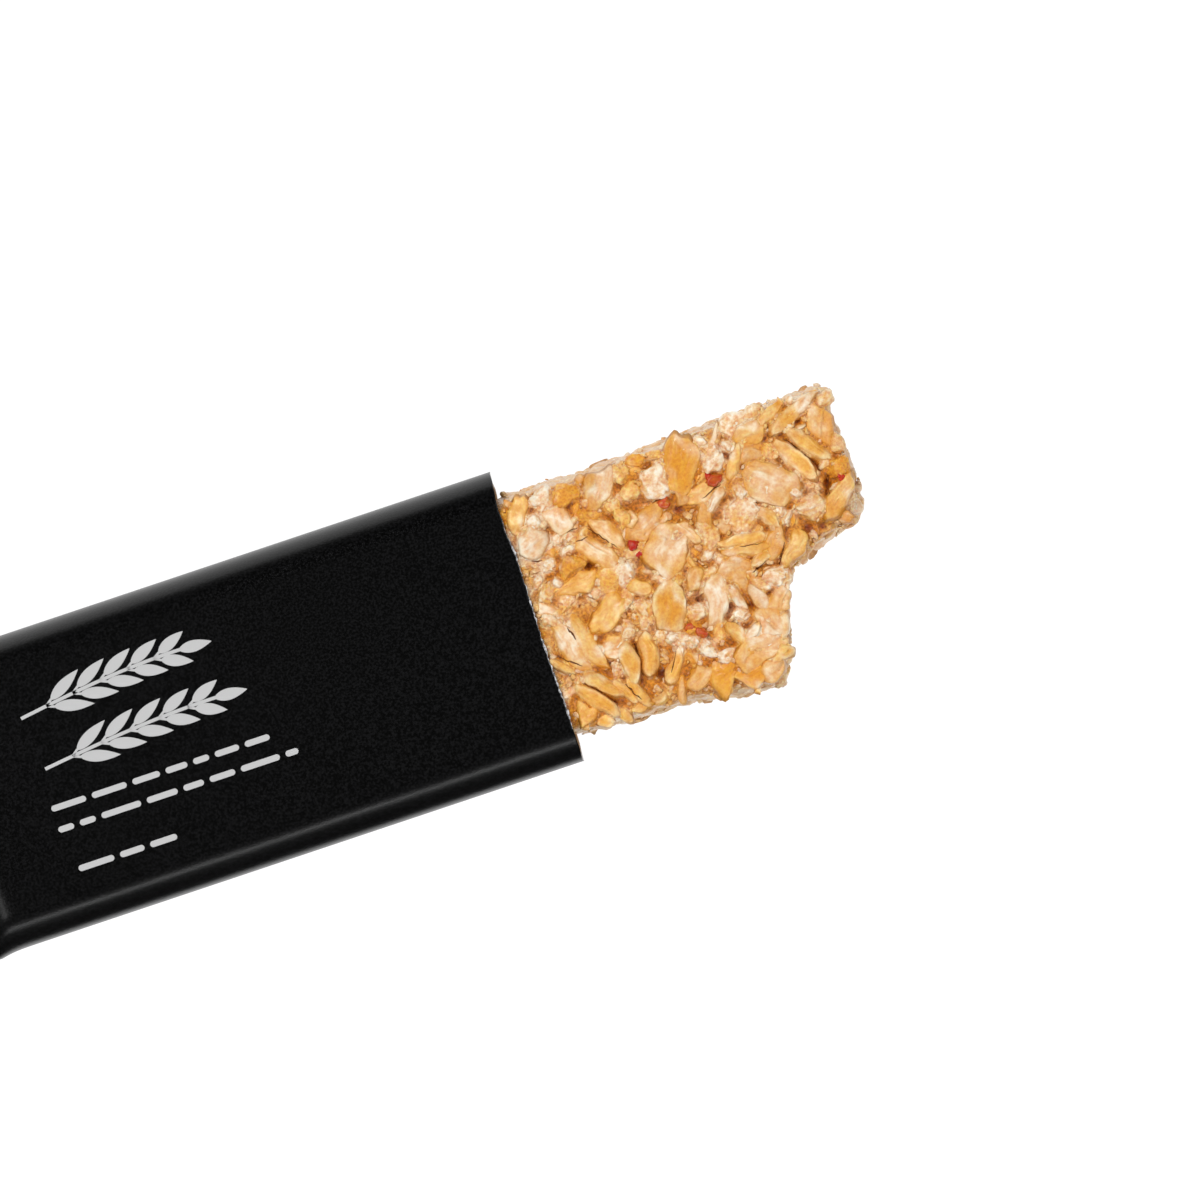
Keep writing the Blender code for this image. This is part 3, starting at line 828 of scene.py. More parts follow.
def flake(length, width, thick, shade, rng, grid=MIDDLE_GRID, kind="whole"):
    """Points, faces, colours and grain coordinates of one flake that lies flat at the origin.

    kind is whole (an oval oat), half (a slim, rounded half) or plate (a flat, angular bit).
    """
    radius, angle, side, faces = grid
    phase = rng.uniform(0, 2 * np.pi, 8)
    rim = (0.5 * np.sin(3 * angle + phase[0]) + 0.4 * np.sin(5 * angle + phase[1])
           + 0.35 * np.sin(9 * angle + phase[2]) + 0.25 * np.sin(14 * angle + phase[6]))
    if kind == "plate":
        reach = corners_reach(angle, int(rng.integers(4, 7)), rng) * (1 + 0.03 * rim * radius)
    else:
        squarish = 2.7 if kind == "whole" else 2.1
        blunt = (np.abs(np.cos(angle)) ** squarish + np.abs(np.sin(angle)) ** squarish)
        reach = blunt ** (-1 / squarish) * (1 + (0.06 if kind == "whole" else 0.035) * rim * radius)
    nx, ny = radius * np.cos(angle), radius * np.sin(angle)
    taper = 1 + rng.uniform(-0.25, 0.25) * nx
    x, y = length / 2 * nx * reach, width / 2 * ny * reach * taper
    x = x + (0.10 if kind == "half" else 0.05) * width * np.sin(1.6 * ny + phase[7])
    dome = np.clip(1 - radius ** {"whole": 4.0, "half": 2.4, "plate": 7.0}[kind], 0, 1) ** 0.5
    dome = np.where(side < 0, np.where(radius > 0.8, 0.7, 1.0), dome)
    top = side > 0
    ribs = np.sin(2 * np.pi * y / rng.uniform(0.55, 0.9) + phase[3] + 0.5 * np.sin(0.9 * x))
    step = np.tanh((y - 0.1 * width * np.sin(phase[5])) / 0.15) * rng.uniform(-0.14, 0.14)
    z = side * thick / 2 * dome + (0.045 * ribs + step * (kind != "half")) * (1 - radius ** 3) * top
    lumps = ripple(np.column_stack([x, y, 9 * phase[4] + 0 * x]), 2.2, int(phase[5] * 1e6))
    curl = rng.uniform(-1, 1, 3)
    z = z + 0.09 * lumps + 0.07 * width * (curl[0] * (ny ** 2 - 0.3) + curl[1] * nx * ny)
    z = z + 0.045 * length * curl[2] * (nx ** 2 - 0.3)
    heart, edge = linear(SHADES[shade][0]), linear(SHADES[shade][1])
    to_edge = ease((radius - 0.45 + 0.12 * lumps) / 0.55)[:, None]
    colours = heart * (1 - to_edge) + edge * to_edge
    # One end may be toasted at random, and ribs and lumps are streaked. The rim wall and the
    # underside get a painted warm shade.
    toast_and_rim_shade = ease((nx * rng.choice([-1, 1]) - 0.1) / 0.9) * rng.uniform(0, 0.3)
    toast_and_rim_shade = toast_and_rim_shade + 0.09 * ribs * top + 0.55 * (side <= 0) + 0.08 * lumps
    toast_and_rim_shade = np.clip(toast_and_rim_shade, 0, 0.8)[:, None]
    colours = (colours * (1 - toast_and_rim_shade) + TOAST_AND_SHADE * toast_and_rim_shade) * rng.uniform(0.9, 1.08)
    along = np.column_stack([x, y, np.full(len(x), 10 * phase[4])])
    return np.column_stack([x, y, z]), faces, colours, along


print("flake kinds: whole, half, plate")


# %% [markdown]
# The rounder pieces are puffed grain and broken lumps. Both start from a sphere of small
# triangles. A puff is swollen by smooth ripples of two sizes, and a lump is first cut by a
# few random planes, which gives it dull corners like a crumb of pressed cereal.

# %% Shape one puff or lump
def ball(detail):
    bm = bmesh.new()
    bmesh.ops.create_icosphere(bm, subdivisions=detail, radius=1.0)
    points = np.array([v.co[:] for v in bm.verts])
    faces = np.array([[v.index for v in f.verts] for f in bm.faces])
    bm.free()
    return points, faces


BALLS = {detail: ball(detail) for detail in (1, 2, 3, 4, 5)}


def puff(length, width, thick, shade, rng, detail=3, lumpy=0.13, cut=0.5):
    """A puffed grain (cut near 0) or a lump with dull corners (cut near 1)."""
    base, faces = BALLS[detail]
    seed = int(rng.integers(1, 10 ** 6))
    aims = rng.normal(size=(11, 3))
    aims /= np.linalg.norm(aims, axis=1, keepdims=True)
    lobes = np.clip(base @ aims.T, 0.02, None) / rng.uniform(0.72, 1.0, 11)
    planes = np.clip((lobes ** 9).sum(1) ** (-1 / 9), 0.5, 1.25)
    big, small = ripple(base, 1.3, seed), ripple(base, 0.42, seed + 1)
    grains = np.abs(ripple(base * (length, width, thick), 1.1, seed + 2))
    swell = (1 - cut + cut * planes) * (1 + lumpy * (big + 0.4 * small))
    points = base * swell[:, None] * (length / 2, width / 2, thick / 2)
    points = points + base * (0.09 * grains)[:, None]
    heart, edge = linear(SHADES[shade][0]), linear(SHADES[shade][1])
    share = ease(0.55 + 0.35 * big + 0.3 * small + 0.2 * base[:, 2])[:, None]
    # The underside and the hollows between the grains are painted with warm shade.
    low = ease(0.25 - base[:, 2]) * 0.6 + 0.25 * ease((0.35 - grains) / 0.35)
    low = np.clip(low, 0, 0.75)[:, None]
    colours = (edge * (1 - share) + heart * share) * rng.uniform(0.92, 1.06)
    return points, faces, colours * (1 - low) + TOAST_AND_SHADE * low, points.copy()


print("balls:", {d: len(b[1]) for d, b in BALLS.items()})


# %% [markdown]
# Pieces are gathered in heaps, one heap for each kind, and each heap becomes one mesh. A
# piece is turned so that its flat side faces away from the surface that it sticks to, spun to
# its heading, and tipped a little, as nothing lies quite flat. Pressing bends neighbours
# together and keeps every piece close to the bar's outline.

# %% Heaps and placing
SLACK, BREAK_SLACK = 0.3, 0.6  # how far pieces may stand out, and how much more on the break
FLOOR_GAP = 0.12


def squeeze(points):
    """How far pressing moved each point: neighbours bend together."""
    broad = np.column_stack([ripple(points, 4.2, seed) for seed in (91, 92, 93)])
    close = np.column_stack([ripple(points, 1.5, seed) for seed in (94, 95, 96)])
    return 0.30 * broad * (1, 1, 0.6) + 0.06 * close


def pushed_back(over, give):
    """How far to push back what stands over a limit, so that at most give is left."""
    return over - give * (1 - np.exp(-over / give))


def held_in(points):
    """Presses what stands out of the outline back towards it, less so on the break."""
    slack = SLACK + BREAK_SLACK * on_break(points[:, 0], points[:, 1])
    gap = points[:, None, :2] - OUTLINE[None]
    nearest = np.linalg.norm(gap, axis=2).argmin(1)
    out = OUTLINE_OUT[nearest]
    over = np.clip((gap[np.arange(len(points)), nearest] * out).sum(1) - slack, 0, None)
    points[:, :2] -= pushed_back(over, 0.25)[:, None] * out
    return points


class Heap:
    """Points, triangles, colours and grain coordinates of many pieces of one kind."""

    def __init__(self):
        self.points, self.faces, self.colours, self.along, self.count = [], [], [], [], 0

    def add(self, piece, frame_of_piece, where):
        points, faces, colours, along = piece
        placed = points @ frame_of_piece.T + where
        placed = held_in(placed + squeeze(placed))
        for axis, limit in ((0, BAR_END - 0.05), (2, CEILING)):
            over = np.clip(placed[:, axis] - limit + 0.3, 0, None)
            placed[:, axis] -= pushed_back(over, 0.3)
        placed[:, 2] = np.maximum(placed[:, 2], FLOOR_GAP)
        self.points.append(placed)
        self.faces.append(faces + self.count)
        self.colours.append(colours)
        self.along.append(along)
        self.count += len(points)

    def arrays(self):
        gathered = (self.points, self.faces, self.colours, self.along)
        return [np.concatenate(some) for some in gathered]


def lying(facing, heading, rng, tip=7.0):
    """Axes of a piece whose flat side faces along facing. heading is in degrees from +X."""
    facing = np.asarray(facing, float) / np.linalg.norm(facing)
    first = np.array([1.0, 0, 0]) if abs(facing[0]) < 0.8 else np.array([0, 1.0, 0])
    first = first - facing * (first @ facing)
    first /= np.linalg.norm(first)
    second = np.cross(facing, first)
    turn = math.radians(heading)
    axes = np.column_stack([first * math.cos(turn) + second * math.sin(turn),
                            second * math.cos(turn) - first * math.sin(turn), facing])
    a, b = np.radians(rng.uniform(-tip, tip, 2))
    tilt = np.array(Matrix.Rotation(a, 3, "X") @ Matrix.Rotation(b, 3, "Y"))
    return axes @ tilt


UP = (0, 0, 1)
print("ready to place pieces")

# %% [markdown]
# ### The pieces that the photo shows
#
# The largest flakes and puffs on the top are placed one by one, each by its kind, shade, place,
# size and heading, so that the bar has the photo's own pattern. A split oat is two slim
# halves that lean away from a dark cleft.

# %% Flakes placed one by one
FLAKES = [  # kind, shade, x, y, length, width, heading, lift
    ("whole", "straw", 2.3, 14.7, 6.0, 2.7, 60, 0.1),
    ("plate", "cream", 14.6, 14.6, 6.2, 5.2, 70, 0.0),
    ("whole", "amber", 27.0, 14.4, 8.6, 5.4, 66, 0.25),
    ("plate", "white", 2.7, 10.3, 5.0, 4.5, 20, 0.15),
    ("plate", "white", 7.7, 12.2, 4.6, 4.0, 70, 0.05),
    ("plate", "tan", 19.0, 7.2, 6.2, 4.0, 25, -0.2),
    ("plate", "cream", 21.6, 3.4, 8.0, 6.8, 42, 0.2),
    ("half", "golden", 24.8, 4.6, 4.8, 1.5, -58, 0.2),
    ("half", "golden", 34.2, 11.9, 5.6, 1.9, 64, 0.35),
    ("whole", "straw", 37.6, 15.4, 5.0, 3.2, 25, 0.3),
    ("plate", "tan", 37.3, 12.9, 5.4, 3.8, -5, -0.2),
    ("half", "golden", 43.8, 15.8, 6.8, 2.3, 24, 0.35),
    ("half", "straw", 41.0, 17.0, 5.4, 2.0, 15, 0.1),
    ("whole", "straw", 28.0, 9.4, 5.2, 2.6, 8, 0.0),
    ("half", "white", 29.6, 7.6, 4.4, 1.6, 27, 0.25),
    ("whole", "cream", 38.4, 7.6, 8.8, 5.9, -40, 0.35),
    ("plate", "straw", 47.3, 2.7, 6.0, 3.8, 38, 0.2),
    ("half", "golden", 31.8, 1.0, 7.2, 1.7, -5, 0.4),
    ("half", "straw", 31.9, -0.3, 7.0, 1.7, -8, 0.35),
    ("plate", "tan", 30.0, -2.8, 5.6, 4.2, -18, 0.0),
    ("plate", "golden", 33.7, -2.1, 2.9, 2.2, 20, 0.2),
    ("plate", "tan", 36.4, -0.6, 4.4, 2.8, 42, 0.05),
    ("whole", "straw", 38.6, -2.5, 6.2, 2.7, 50, 0.1),
    ("half", "cream", 3.4, -5.7, 9.2, 3.4, -66, 0.2),
    ("half", "straw", 5.9, -5.9, 8.8, 3.2, -68, 0.15),
    ("whole", "straw", 10.1, -2.8, 7.2, 3.6, 38, 0.35),
    ("half", "golden", 1.7, -8.2, 4.6, 1.4, -48, 0.2),
    ("half", "golden", 16.5, -13.3, 5.4, 1.9, 56, 0.0),
    ("half", "golden", 9.1, -14.4, 5.0, 1.5, -62, 0.3),
    ("half", "golden", 10.8, -14.8, 5.8, 1.7, -76, 0.25),
    ("whole", "golden", 19.0, -4.6, 7.8, 4.8, 78, 0.4),
    ("plate", "white", 25.5, -5.7, 8.4, 3.6, 78, 0.3),
    ("half", "white", 28.4, -6.4, 4.8, 1.8, -62, 0.2),
    ("half", "white", 31.5, -7.6, 4.6, 1.8, -70, 0.15),
    ("half", "straw", 27.4, -12.8, 6.4, 2.2, -65, 0.3),
    ("half", "cream", 28.9, -12.2, 4.4, 1.3, 45, 0.5),
    ("whole", "cream", 29.4, -14.7, 8.4, 4.2, 18, 0.25),
    ("plate", "cream", 31.8, -11.2, 5.0, 4.2, -62, 0.1),
    ("plate", "golden", 33.4, -12.2, 4.0, 2.8, 70, 0.0),
    ("plate", "cream", 30.2, -18.2, 4.6, 3.8, 20, -0.1),
    ("plate", "golden", 32.0, -16.4, 4.0, 2.2, 20, 0.05),
    ("plate", "amber", 23.0, -16.4, 4.4, 3.6, 10, 0.0),
    ("plate", "amber", 26.8, -17.6, 4.8, 3.6, -10, -0.1),
    ("plate", "straw", 8.0, 2.5, 5.6, 2.6, 5, 0.1),
    ("plate", "golden", 36.4, 3.0, 3.8, 2.2, -50, 0.1),
    ("plate", "cream", 47.9, 13.4, 5.2, 4.4, 60, -0.1),
    ("plate", "straw", 2.6, -15.4, 3.8, 3.0, 20, 0.0),
    ("plate", "cream", 17.6, 8.9, 3.2, 2.4, -30, 0.1),
    ("plate", "cream", 20.0, -15.6, 4.0, 2.8, 20, 0.0),
    ("plate", "white", 46.6, 17.0, 3.6, 2.2, 30, 0.0),
    ("whole", "cream", 11.3, 6.2, 7.2, 3.0, -57, 0.2),
    ("half", "cream", 13.7, 8.1, 7.0, 2.7, -57, 0.35),
    ("plate", "tan", 25.6, 10.2, 4.4, 2.6, 60, -0.1),
    ("plate", "cream", 23.6, -2.0, 3.8, 2.4, 70, 0.1),
    ("whole", "tan", 27.7, 6.4, 4.4, 2.2, 75, 0.0),
    ("plate", "straw", 9.6, -7.6, 4.6, 2.8, 20, -0.1),
    ("plate", "straw", 15.6, -0.6, 3.8, 2.6, -30, 0.0),
    ("plate", "cream", 34.4, -8.8, 3.4, 2.8, 60, 0.0),
]
print("flakes placed by eye:", len(FLAKES))

# %% Puffs and split oats placed one by one
PUFFS = [  # cut, shade, x, y, length, width, heading, lift
    (0.2, "white", 6.5, 15.7, 4.0, 3.5, 0, 0.2), (0.6, "amber", 9.8, 15.4, 4.0, 3.4, 20, 0.1),
    (0.8, "golden", 18.2, 15.8, 2.9, 2.3, 80, 0.25), (0.6, "amber", 21.0, 16.6, 3.0, 2.0, 0, 0.0),
    (0.6, "golden", 23.9, 16.6, 2.6, 1.8, 0, 0.0), (0.2, "white", 22.5, 12.8, 5.1, 4.9, 0, 0.45),
    (0.9, "golden", 15.7, 11.7, 2.5, 2.3, 30, 0.25),
    (0.9, "golden", 16.3, 9.7, 3.3, 2.8, -30, 0.25), (0.5, "amber", 7.2, 5.3, 3.9, 3.4, 20, 0.45),
    (0.5, "golden", 12.4, 1.8, 4.4, 4.0, 20, 0.3), (0.3, "white", 14.3, 1.9, 3.2, 2.6, 40, 0.4),
    (0.5, "white", 31.5, 13.5, 4.9, 3.3, 72, 0.25),
    (0.3, "white", 35.9, 17.2, 4.6, 3.0, -10, 0.0), (0.3, "white", 33.8, 7.4, 2.9, 2.6, 0, 0.2),
    (0.7, "white", 34.0, 9.6, 1.8, 1.5, 0, 0.2), (0.6, "cream", 33.3, 3.9, 5.0, 4.6, 60, 0.25),
    (0.4, "cream", 42.9, 2.6, 4.9, 3.7, 0, 0.3), (0.5, "white", 41.2, 5.2, 2.8, 2.4, -40, 0.15),
    (0.4, "white", 39.2, 2.2, 1.9, 1.5, 0, 0.2), (0.5, "amber", 48.4, 6.9, 3.2, 2.8, 40, 0.1),
    (0.3, "cream", 15.2, -4.3, 4.4, 2.8, 82, 0.2), (0.6, "cream", 27.5, 3.4, 5.2, 3.0, 78, 0.2),
    (0.5, "cream", 21.9, -6.4, 2.9, 2.4, 30, 0.1), (0.3, "white", 34.7, -5.7, 4.0, 3.0, -10, 0.1),
    (0.5, "cream", 32.4, -5.6, 3.1, 2.1, -70, 0.1),
    (0.3, "white", 8.7, -11.1, 2.5, 1.8, 80, 0.25), (0.5, "white", 7.6, -8.0, 3.3, 2.2, 40, 0.0),
    (0.6, "golden", 20.8, -1.4, 3.0, 2.4, 70, 0.0), (0.6, "amber", 21.4, -8.9, 2.8, 2.2, 20, 0.0),
    (0.6, "white", 22.2, -12.2, 3.4, 2.2, -50, 0.2),
    (0.5, "white", 24.2, -14.2, 2.6, 2.2, 10, 0.1), (0.6, "white", 28.6, -8.9, 2.4, 2.0, 0, 0.1),
    (0.9, "white", 12.2, 13.3, 2.3, 1.1, 10, 0.35), (0.6, "white", 4.0, 6.6, 3.2, 2.6, -40, 0.0),
    (0.7, "golden", 39.6, 12.4, 2.8, 2.2, -40, 0.1), (0.4, "white", 37.8, 3.4, 2.4, 2.1, 0, 0.15),
    (0.5, "white", 6.4, 9.6, 2.0, 1.7, 0, 0.1), (0.5, "white", 8.4, 9.5, 2.0, 1.7, 0, 0.1),
    (0.9, "white", 8.1, 7.7, 2.2, 1.3, 20, 0.3), (0.5, "white", 4.2, 13.0, 3.0, 2.6, 0, 0.0),
    (0.7, "white", 26.3, -16.6, 1.6, 1.1, 20, 0.35), (0.6, "amber", 12.0, 11.4, 3.6, 2.6, 0, 0.0),
    (0.6, "white", 19.0, -9.6, 3.0, 2.4, 0, 0.05), (0.6, "cream", 16.6, -8.6, 2.6, 2.2, 60, 0.0),
    (0.6, "white", 5.0, 1.0, 2.6, 2.0, 30, 0.0), (0.6, "cream", 2.6, 2.6, 3.0, 2.6, 0, 0.0),
]
SPLIT_OATS = [  # shade, x, y, length, width of both halves, heading, lift
    ("golden", 12.4, -10.4, 6.6, 5.2, 88, 0.45), ("golden", 44.1, 10.3, 8.2, 4.6, -57, 0.4),
    ("golden", 5.5, -13.4, 7.4, 4.6, -46, 0.4),
]
BASE_TOP = 14.9


def place_named(oats, puffs, rng):
    for kind, shade, x, y, length, width, heading, lift in FLAKES:
        piece = flake(length, width, 1.35, shade, rng, FINE_GRID, kind)
        oats.add(piece, lying(UP, heading, rng, 6), (x, y, BASE_TOP + lift))
    for cut, shade, x, y, length, width, heading, lift in PUFFS:
        thick = min(0.85 * width, 2.6)
        piece = puff(length, width, thick, shade, rng, 4 if length > 2.3 else 3, 0.13, cut)
        puffs.add(piece, lying(UP, heading, rng, 8), (x, y, BASE_TOP - 0.4 + lift))
    for shade, x, y, length, width, heading, lift in SPLIT_OATS:
        for half in (1, -1):
            piece = flake(length, width * 0.5, 1.7, shade, rng, FINE_GRID, "half")
            turn = math.radians(heading)
            off = half * width * 0.29
            spot = (x - off * math.sin(turn), y + off * math.cos(turn), BASE_TOP - 0.1 + lift)
            facing = (-math.sin(turn) * half * 0.22, math.cos(turn) * half * 0.22, 1)
            oats.add(piece, lying(facing, heading + 4 * half, rng, 2), spot)


rng = np.random.default_rng(7)
oats, puffs = Heap(), Heap()
place_named(oats, puffs, rng)
print("placed by eye:", len(FLAKES) + len(PUFFS) + 2 * len(SPLIT_OATS), "pieces")


# %% [markdown]
# ### Filling in
#
# The rest is filled by throwing darts. A dart lands on the top, a side, the break or the
# underside. It is kept if it isn't too near the pieces that are already there, and the size
# shrinks from one round to the next, so small shards end up in the gaps between large
# flakes. The cut sides were pressed, so flakes lie flush in them. On the break they stand
# out at all angles.

# %% Dart throwing
EDGES = np.linalg.norm(np.diff(OUTLINE, axis=0), axis=1)
EDGE_LENGTHS = np.concatenate([[0], np.cumsum(EDGES)])


def inside_outline(x, y, margin=0.0):
    """Whether a place in plan is within the outline, by crossings of a ray."""
    a = OUTLINE + inward(OUTLINE) * margin
    b = np.roll(a, -1, axis=0)
    spans = (a[:, 1] > y) != (b[:, 1] > y)
    with np.errstate(divide="ignore", invalid="ignore"):
        cross = a[:, 0] + (b[:, 0] - a[:, 0]) * (y - a[:, 1]) / (b[:, 1] - a[:, 1])
    return (spans & (x < cross)).sum() % 2 == 1


def wall_dart(rng):
    """A place on the sides or the break: (point, outward direction, is it on the break)."""
    at = rng.uniform(0.4, EDGE_LENGTHS[-1] - 0.4)
    x, y = (np.interp(at, EDGE_LENGTHS, column) for column in OUTLINE.T)
    way = inward(np.array([[x, y]]))[0]
    share = rng.uniform(0.04, 0.97)
    inset = np.interp(share, PROFILE_SHARE, PROFILE_INSET)
    broken = x > 30.5 and (x > 49.0 or y < 0.5) and y <= 17.5
    z = CORE_LOW + share * (CORE_TOP - CORE_LOW)
    point = np.array([x + way[0] * inset, y + way[1] * inset, z])
    k = min(np.searchsorted(EDGE_LENGTHS, at), len(OUTLINE) - 1)
    run = OUTLINE[k] - OUTLINE[k - 1]
    out = np.array([-run[1], run[0]]) / np.linalg.norm(run)
    lean = 0.5 * ease((share - 0.7) / 0.3) - 0.3 * ease((0.15 - share) / 0.15) + 0.04
    return point, np.array([out[0], out[1], lean]), broken


def flat_dart(rng, height, facing):
    while True:
        x, y = rng.uniform(0.5, 51), rng.uniform(-20.5, 19)
        if inside_outline(x, y, 1.2):
            return np.array([x, y, height]), np.array([0, 0, facing]), False


class Spacing:
    """Remembers where pieces lie, and says whether a new one is clear of them."""

    def __init__(self):
        self.centres, self.radii = np.zeros((0, 3)), np.zeros(0)

    def take(self, centre, radius, share):
        gap = np.linalg.norm(self.centres - centre, axis=1)
        if len(self.radii) and np.any(gap < share * (self.radii + radius)):
            return False
        self.centres = np.vstack([self.centres, centre])
        self.radii = np.append(self.radii, radius)
        return True


print("outline runs", round(EDGE_LENGTHS[-1]), "mm")

# %% Fill the faces with flakes and shards
PITS = [  # x, y, radius, depth: holes, sunk and painted with dark shade
    (19.3, 9.3, 0.55, 0.9), (22.0, 9.9, 0.85, 0.8), (23.2, -5.2, 0.6, 0.9),
    (14.8, -13.6, 1.2, 0.8), (41.6, -0.3, 1.1, 0.8), (43.6, -0.8, 0.9, 0.8),
    (8.2, -10.1, 1.1, 0.6), (24.3, -18.0, 0.4, 0.7), (26.9, -7.5, 0.8, 0.6),
    (30.3, -8.2, 0.8, 0.6), (6.7, -0.5, 0.35, 0.6), (24.6, 8.2, 1.2, 0.5), (35.6, 5.6, 0.7, 0.5),
    (46.2, 5.0, 1.0, 0.5), (9.9, 4.6, 0.7, 0.5),
]
SIZE_ROUNDS = [  # largest, smallest, darts for each face, how near they may lie
    (6.4, 4.8, 260, 0.80), (4.8, 3.4, 700, 0.76), (3.4, 2.2, 1300, 0.74), (2.2, 1.3, 1300, 0.74),
]
FACE_SHADES = {
    "top": ["cream", "straw", "golden", "amber", "white", "tan", "cream", "white"],
    "side": ["cream", "white", "tan", "cream", "straw"],
    "break": ["white", "cream", "straw", "white", "golden"],
    "base": ["cream", "golden", "tan", "straw"],
}
FACE_TIP = {"top": 14, "side": 2, "break": 26, "base": 3}
FACE_PUFFS = {"top": 0.45, "side": 0.1, "break": 0.5, "base": 0.15}


def stick_on(dart, face, size, oats, puffs, shards, rng):
    """Adds one piece of about that size at a dart's place."""
    point, facing, broken = dart
    shade = str(rng.choice(FACE_SHADES[face]))
    heading = rng.uniform(0, 360)
    width = size * rng.uniform(0.5, 0.85)
    sunk = {"top": rng.uniform(-0.15, 0.45), "side": 0.6, "break": rng.uniform(0.05, 0.65),
            "base": 0.55}[face]
    centre = point - facing / np.linalg.norm(facing) * sunk
    if point[0] < 1.6:
        centre = centre - np.array([0, 0, 0.35])
    tip = FACE_TIP[face]
    on_edge = face == "top" and size > 2.2 and rng.random() < 0.12
    if on_edge:
        tip, centre = 75, centre - np.array([0, 0, 0.3 * width])
    axes = lying(facing, heading, rng, tip)
    if rng.random() < FACE_PUFFS[face] and not on_edge:
        thick = min(width, 2.3) * (0.85 if face in ("top", "break") else 0.6)
        detail = 3 if size > 2.0 else 2
        puffs.add(puff(size * 0.85, width, thick, shade, rng, detail, 0.15, rng.uniform(0.2, 1)),
                  axes, centre)
        return
    kind = str(rng.choice(["whole", "plate", "plate", "half"]))
    if kind == "half":
        width = 0.38 * size
    if size > 3.4:
        oats.add(flake(size, width, 1.15, shade, rng, MIDDLE_GRID, kind), axes, centre)
    else:
        shards.add(flake(size, width, 0.95, shade, rng, COARSE_GRID, kind), axes, centre)


def fill_faces(oats, puffs, rng):
    shards = Heap()
    near = Spacing()
    for *_, x, y, length, width, _, _ in FLAKES + PUFFS + SPLIT_OATS:
        near.take(np.array([x, y, BASE_TOP]), (length + width) / 4, 0.0)
    for x, y, radius, _ in PITS:
        near.take(np.array([x, y, BASE_TOP - 1.0]), radius + 1.2, 0.0)
    placed = 0
    for largest, smallest, darts, share in SIZE_ROUNDS:
        for face in ("top", "wall", "wall", "base"):
            for _ in range(darts if face != "wall" else darts // 2 + darts // 4):
                if face == "wall":
                    dart = wall_dart(rng)
                    kind = "break" if dart[2] else "side"
                    if kind == "side" and dart[0][2] > 12.6:
                        continue
                else:
                    height, sign = (BASE_TOP - 0.25, 1) if face == "top" else (CORE_LOW + 0.1, -1)
                    dart = flat_dart(rng, height, sign)
                    kind = face
                size = rng.uniform(smallest, largest)
                if not near.take(dart[0], size * 0.42, share):
                    continue
                stick_on(dart, kind, size, oats, puffs, shards, rng)
                placed += 1
    return shards, placed


shards, filled = fill_faces(oats, puffs, rng)
print("filled in:", filled, "pieces")

# %% [markdown]
# ### Syrup and crumb
#
# Between the pieces lies a paste of syrup and oat dust that creeps up their edges. The way to
# get that is to pour everything together: the core and all the pieces go through one voxel
# remesh, which melts them into a single skin, and a smoothing that rounds the skin in every
# corner. The skin then lies above the pieces in the gaps and just under them where they
# bulge, so each piece stands out of a soft fillet.

# %% Melt everything into one skin
VOXEL = 0.32


def melted_skin(parts):
    points, faces, offset = [], [], 0
    for some, indices in parts:
        points.append(some)
        faces += [tuple(int(offset + k) for k in face) for face in indices]
        offset += len(some)
    lump = mesh_from("melt", np.concatenate(points), faces, [])
    melt = lump.modifiers.new("melt", "REMESH")
    melt.mode = "VOXEL"
    melt.voxel_size = VOXEL * MM
    soften = lump.modifiers.new("soften", "SMOOTH")
    soften.factor, soften.iterations = 0.5, 7
    graph = bpy.context.evaluated_depsgraph_get()
    skin = bpy.data.meshes.new_from_object(lump.evaluated_get(graph), depsgraph=graph)
    bpy.data.objects.remove(lump, do_unlink=True)
    found = np.empty(len(skin.vertices) * 3)
    skin.vertices.foreach_get("co", found)
    normals = np.empty(len(skin.vertices) * 3)
    skin.vertices.foreach_get("normal", normals)
    corners = np.empty(len(skin.loops), int)
    skin.loops.foreach_get("vertex_index", corners)
    bpy.data.meshes.remove(skin)
    points = found.reshape(-1, 3) / MM - (MOUTH_X, 0, 0)
    return points, normals.reshape(-1, 3), corners.reshape(-1, 4)


def averaged(values, faces, rounds):
    """Values of points, averaged over their neighbours so many times."""
    start, end = faces.ravel(), np.roll(faces, -1, axis=1).ravel()
    start, end = np.concatenate([start, end]), np.concatenate([end, start])
    total = np.bincount(start, minlength=len(values))
    for _ in range(rounds):
        values = np.column_stack([np.bincount(start, column[end], len(column)) / total
                                  for column in values.T])
    return values


heaps = [oats.arrays(), puffs.arrays(), shards.arrays()]
skin_points, skin_normals, skin_faces = melted_skin(
    [(core_points, core_faces)] + [(h[0], h[1]) for h in heaps])
print("skin:", len(skin_points), "points")
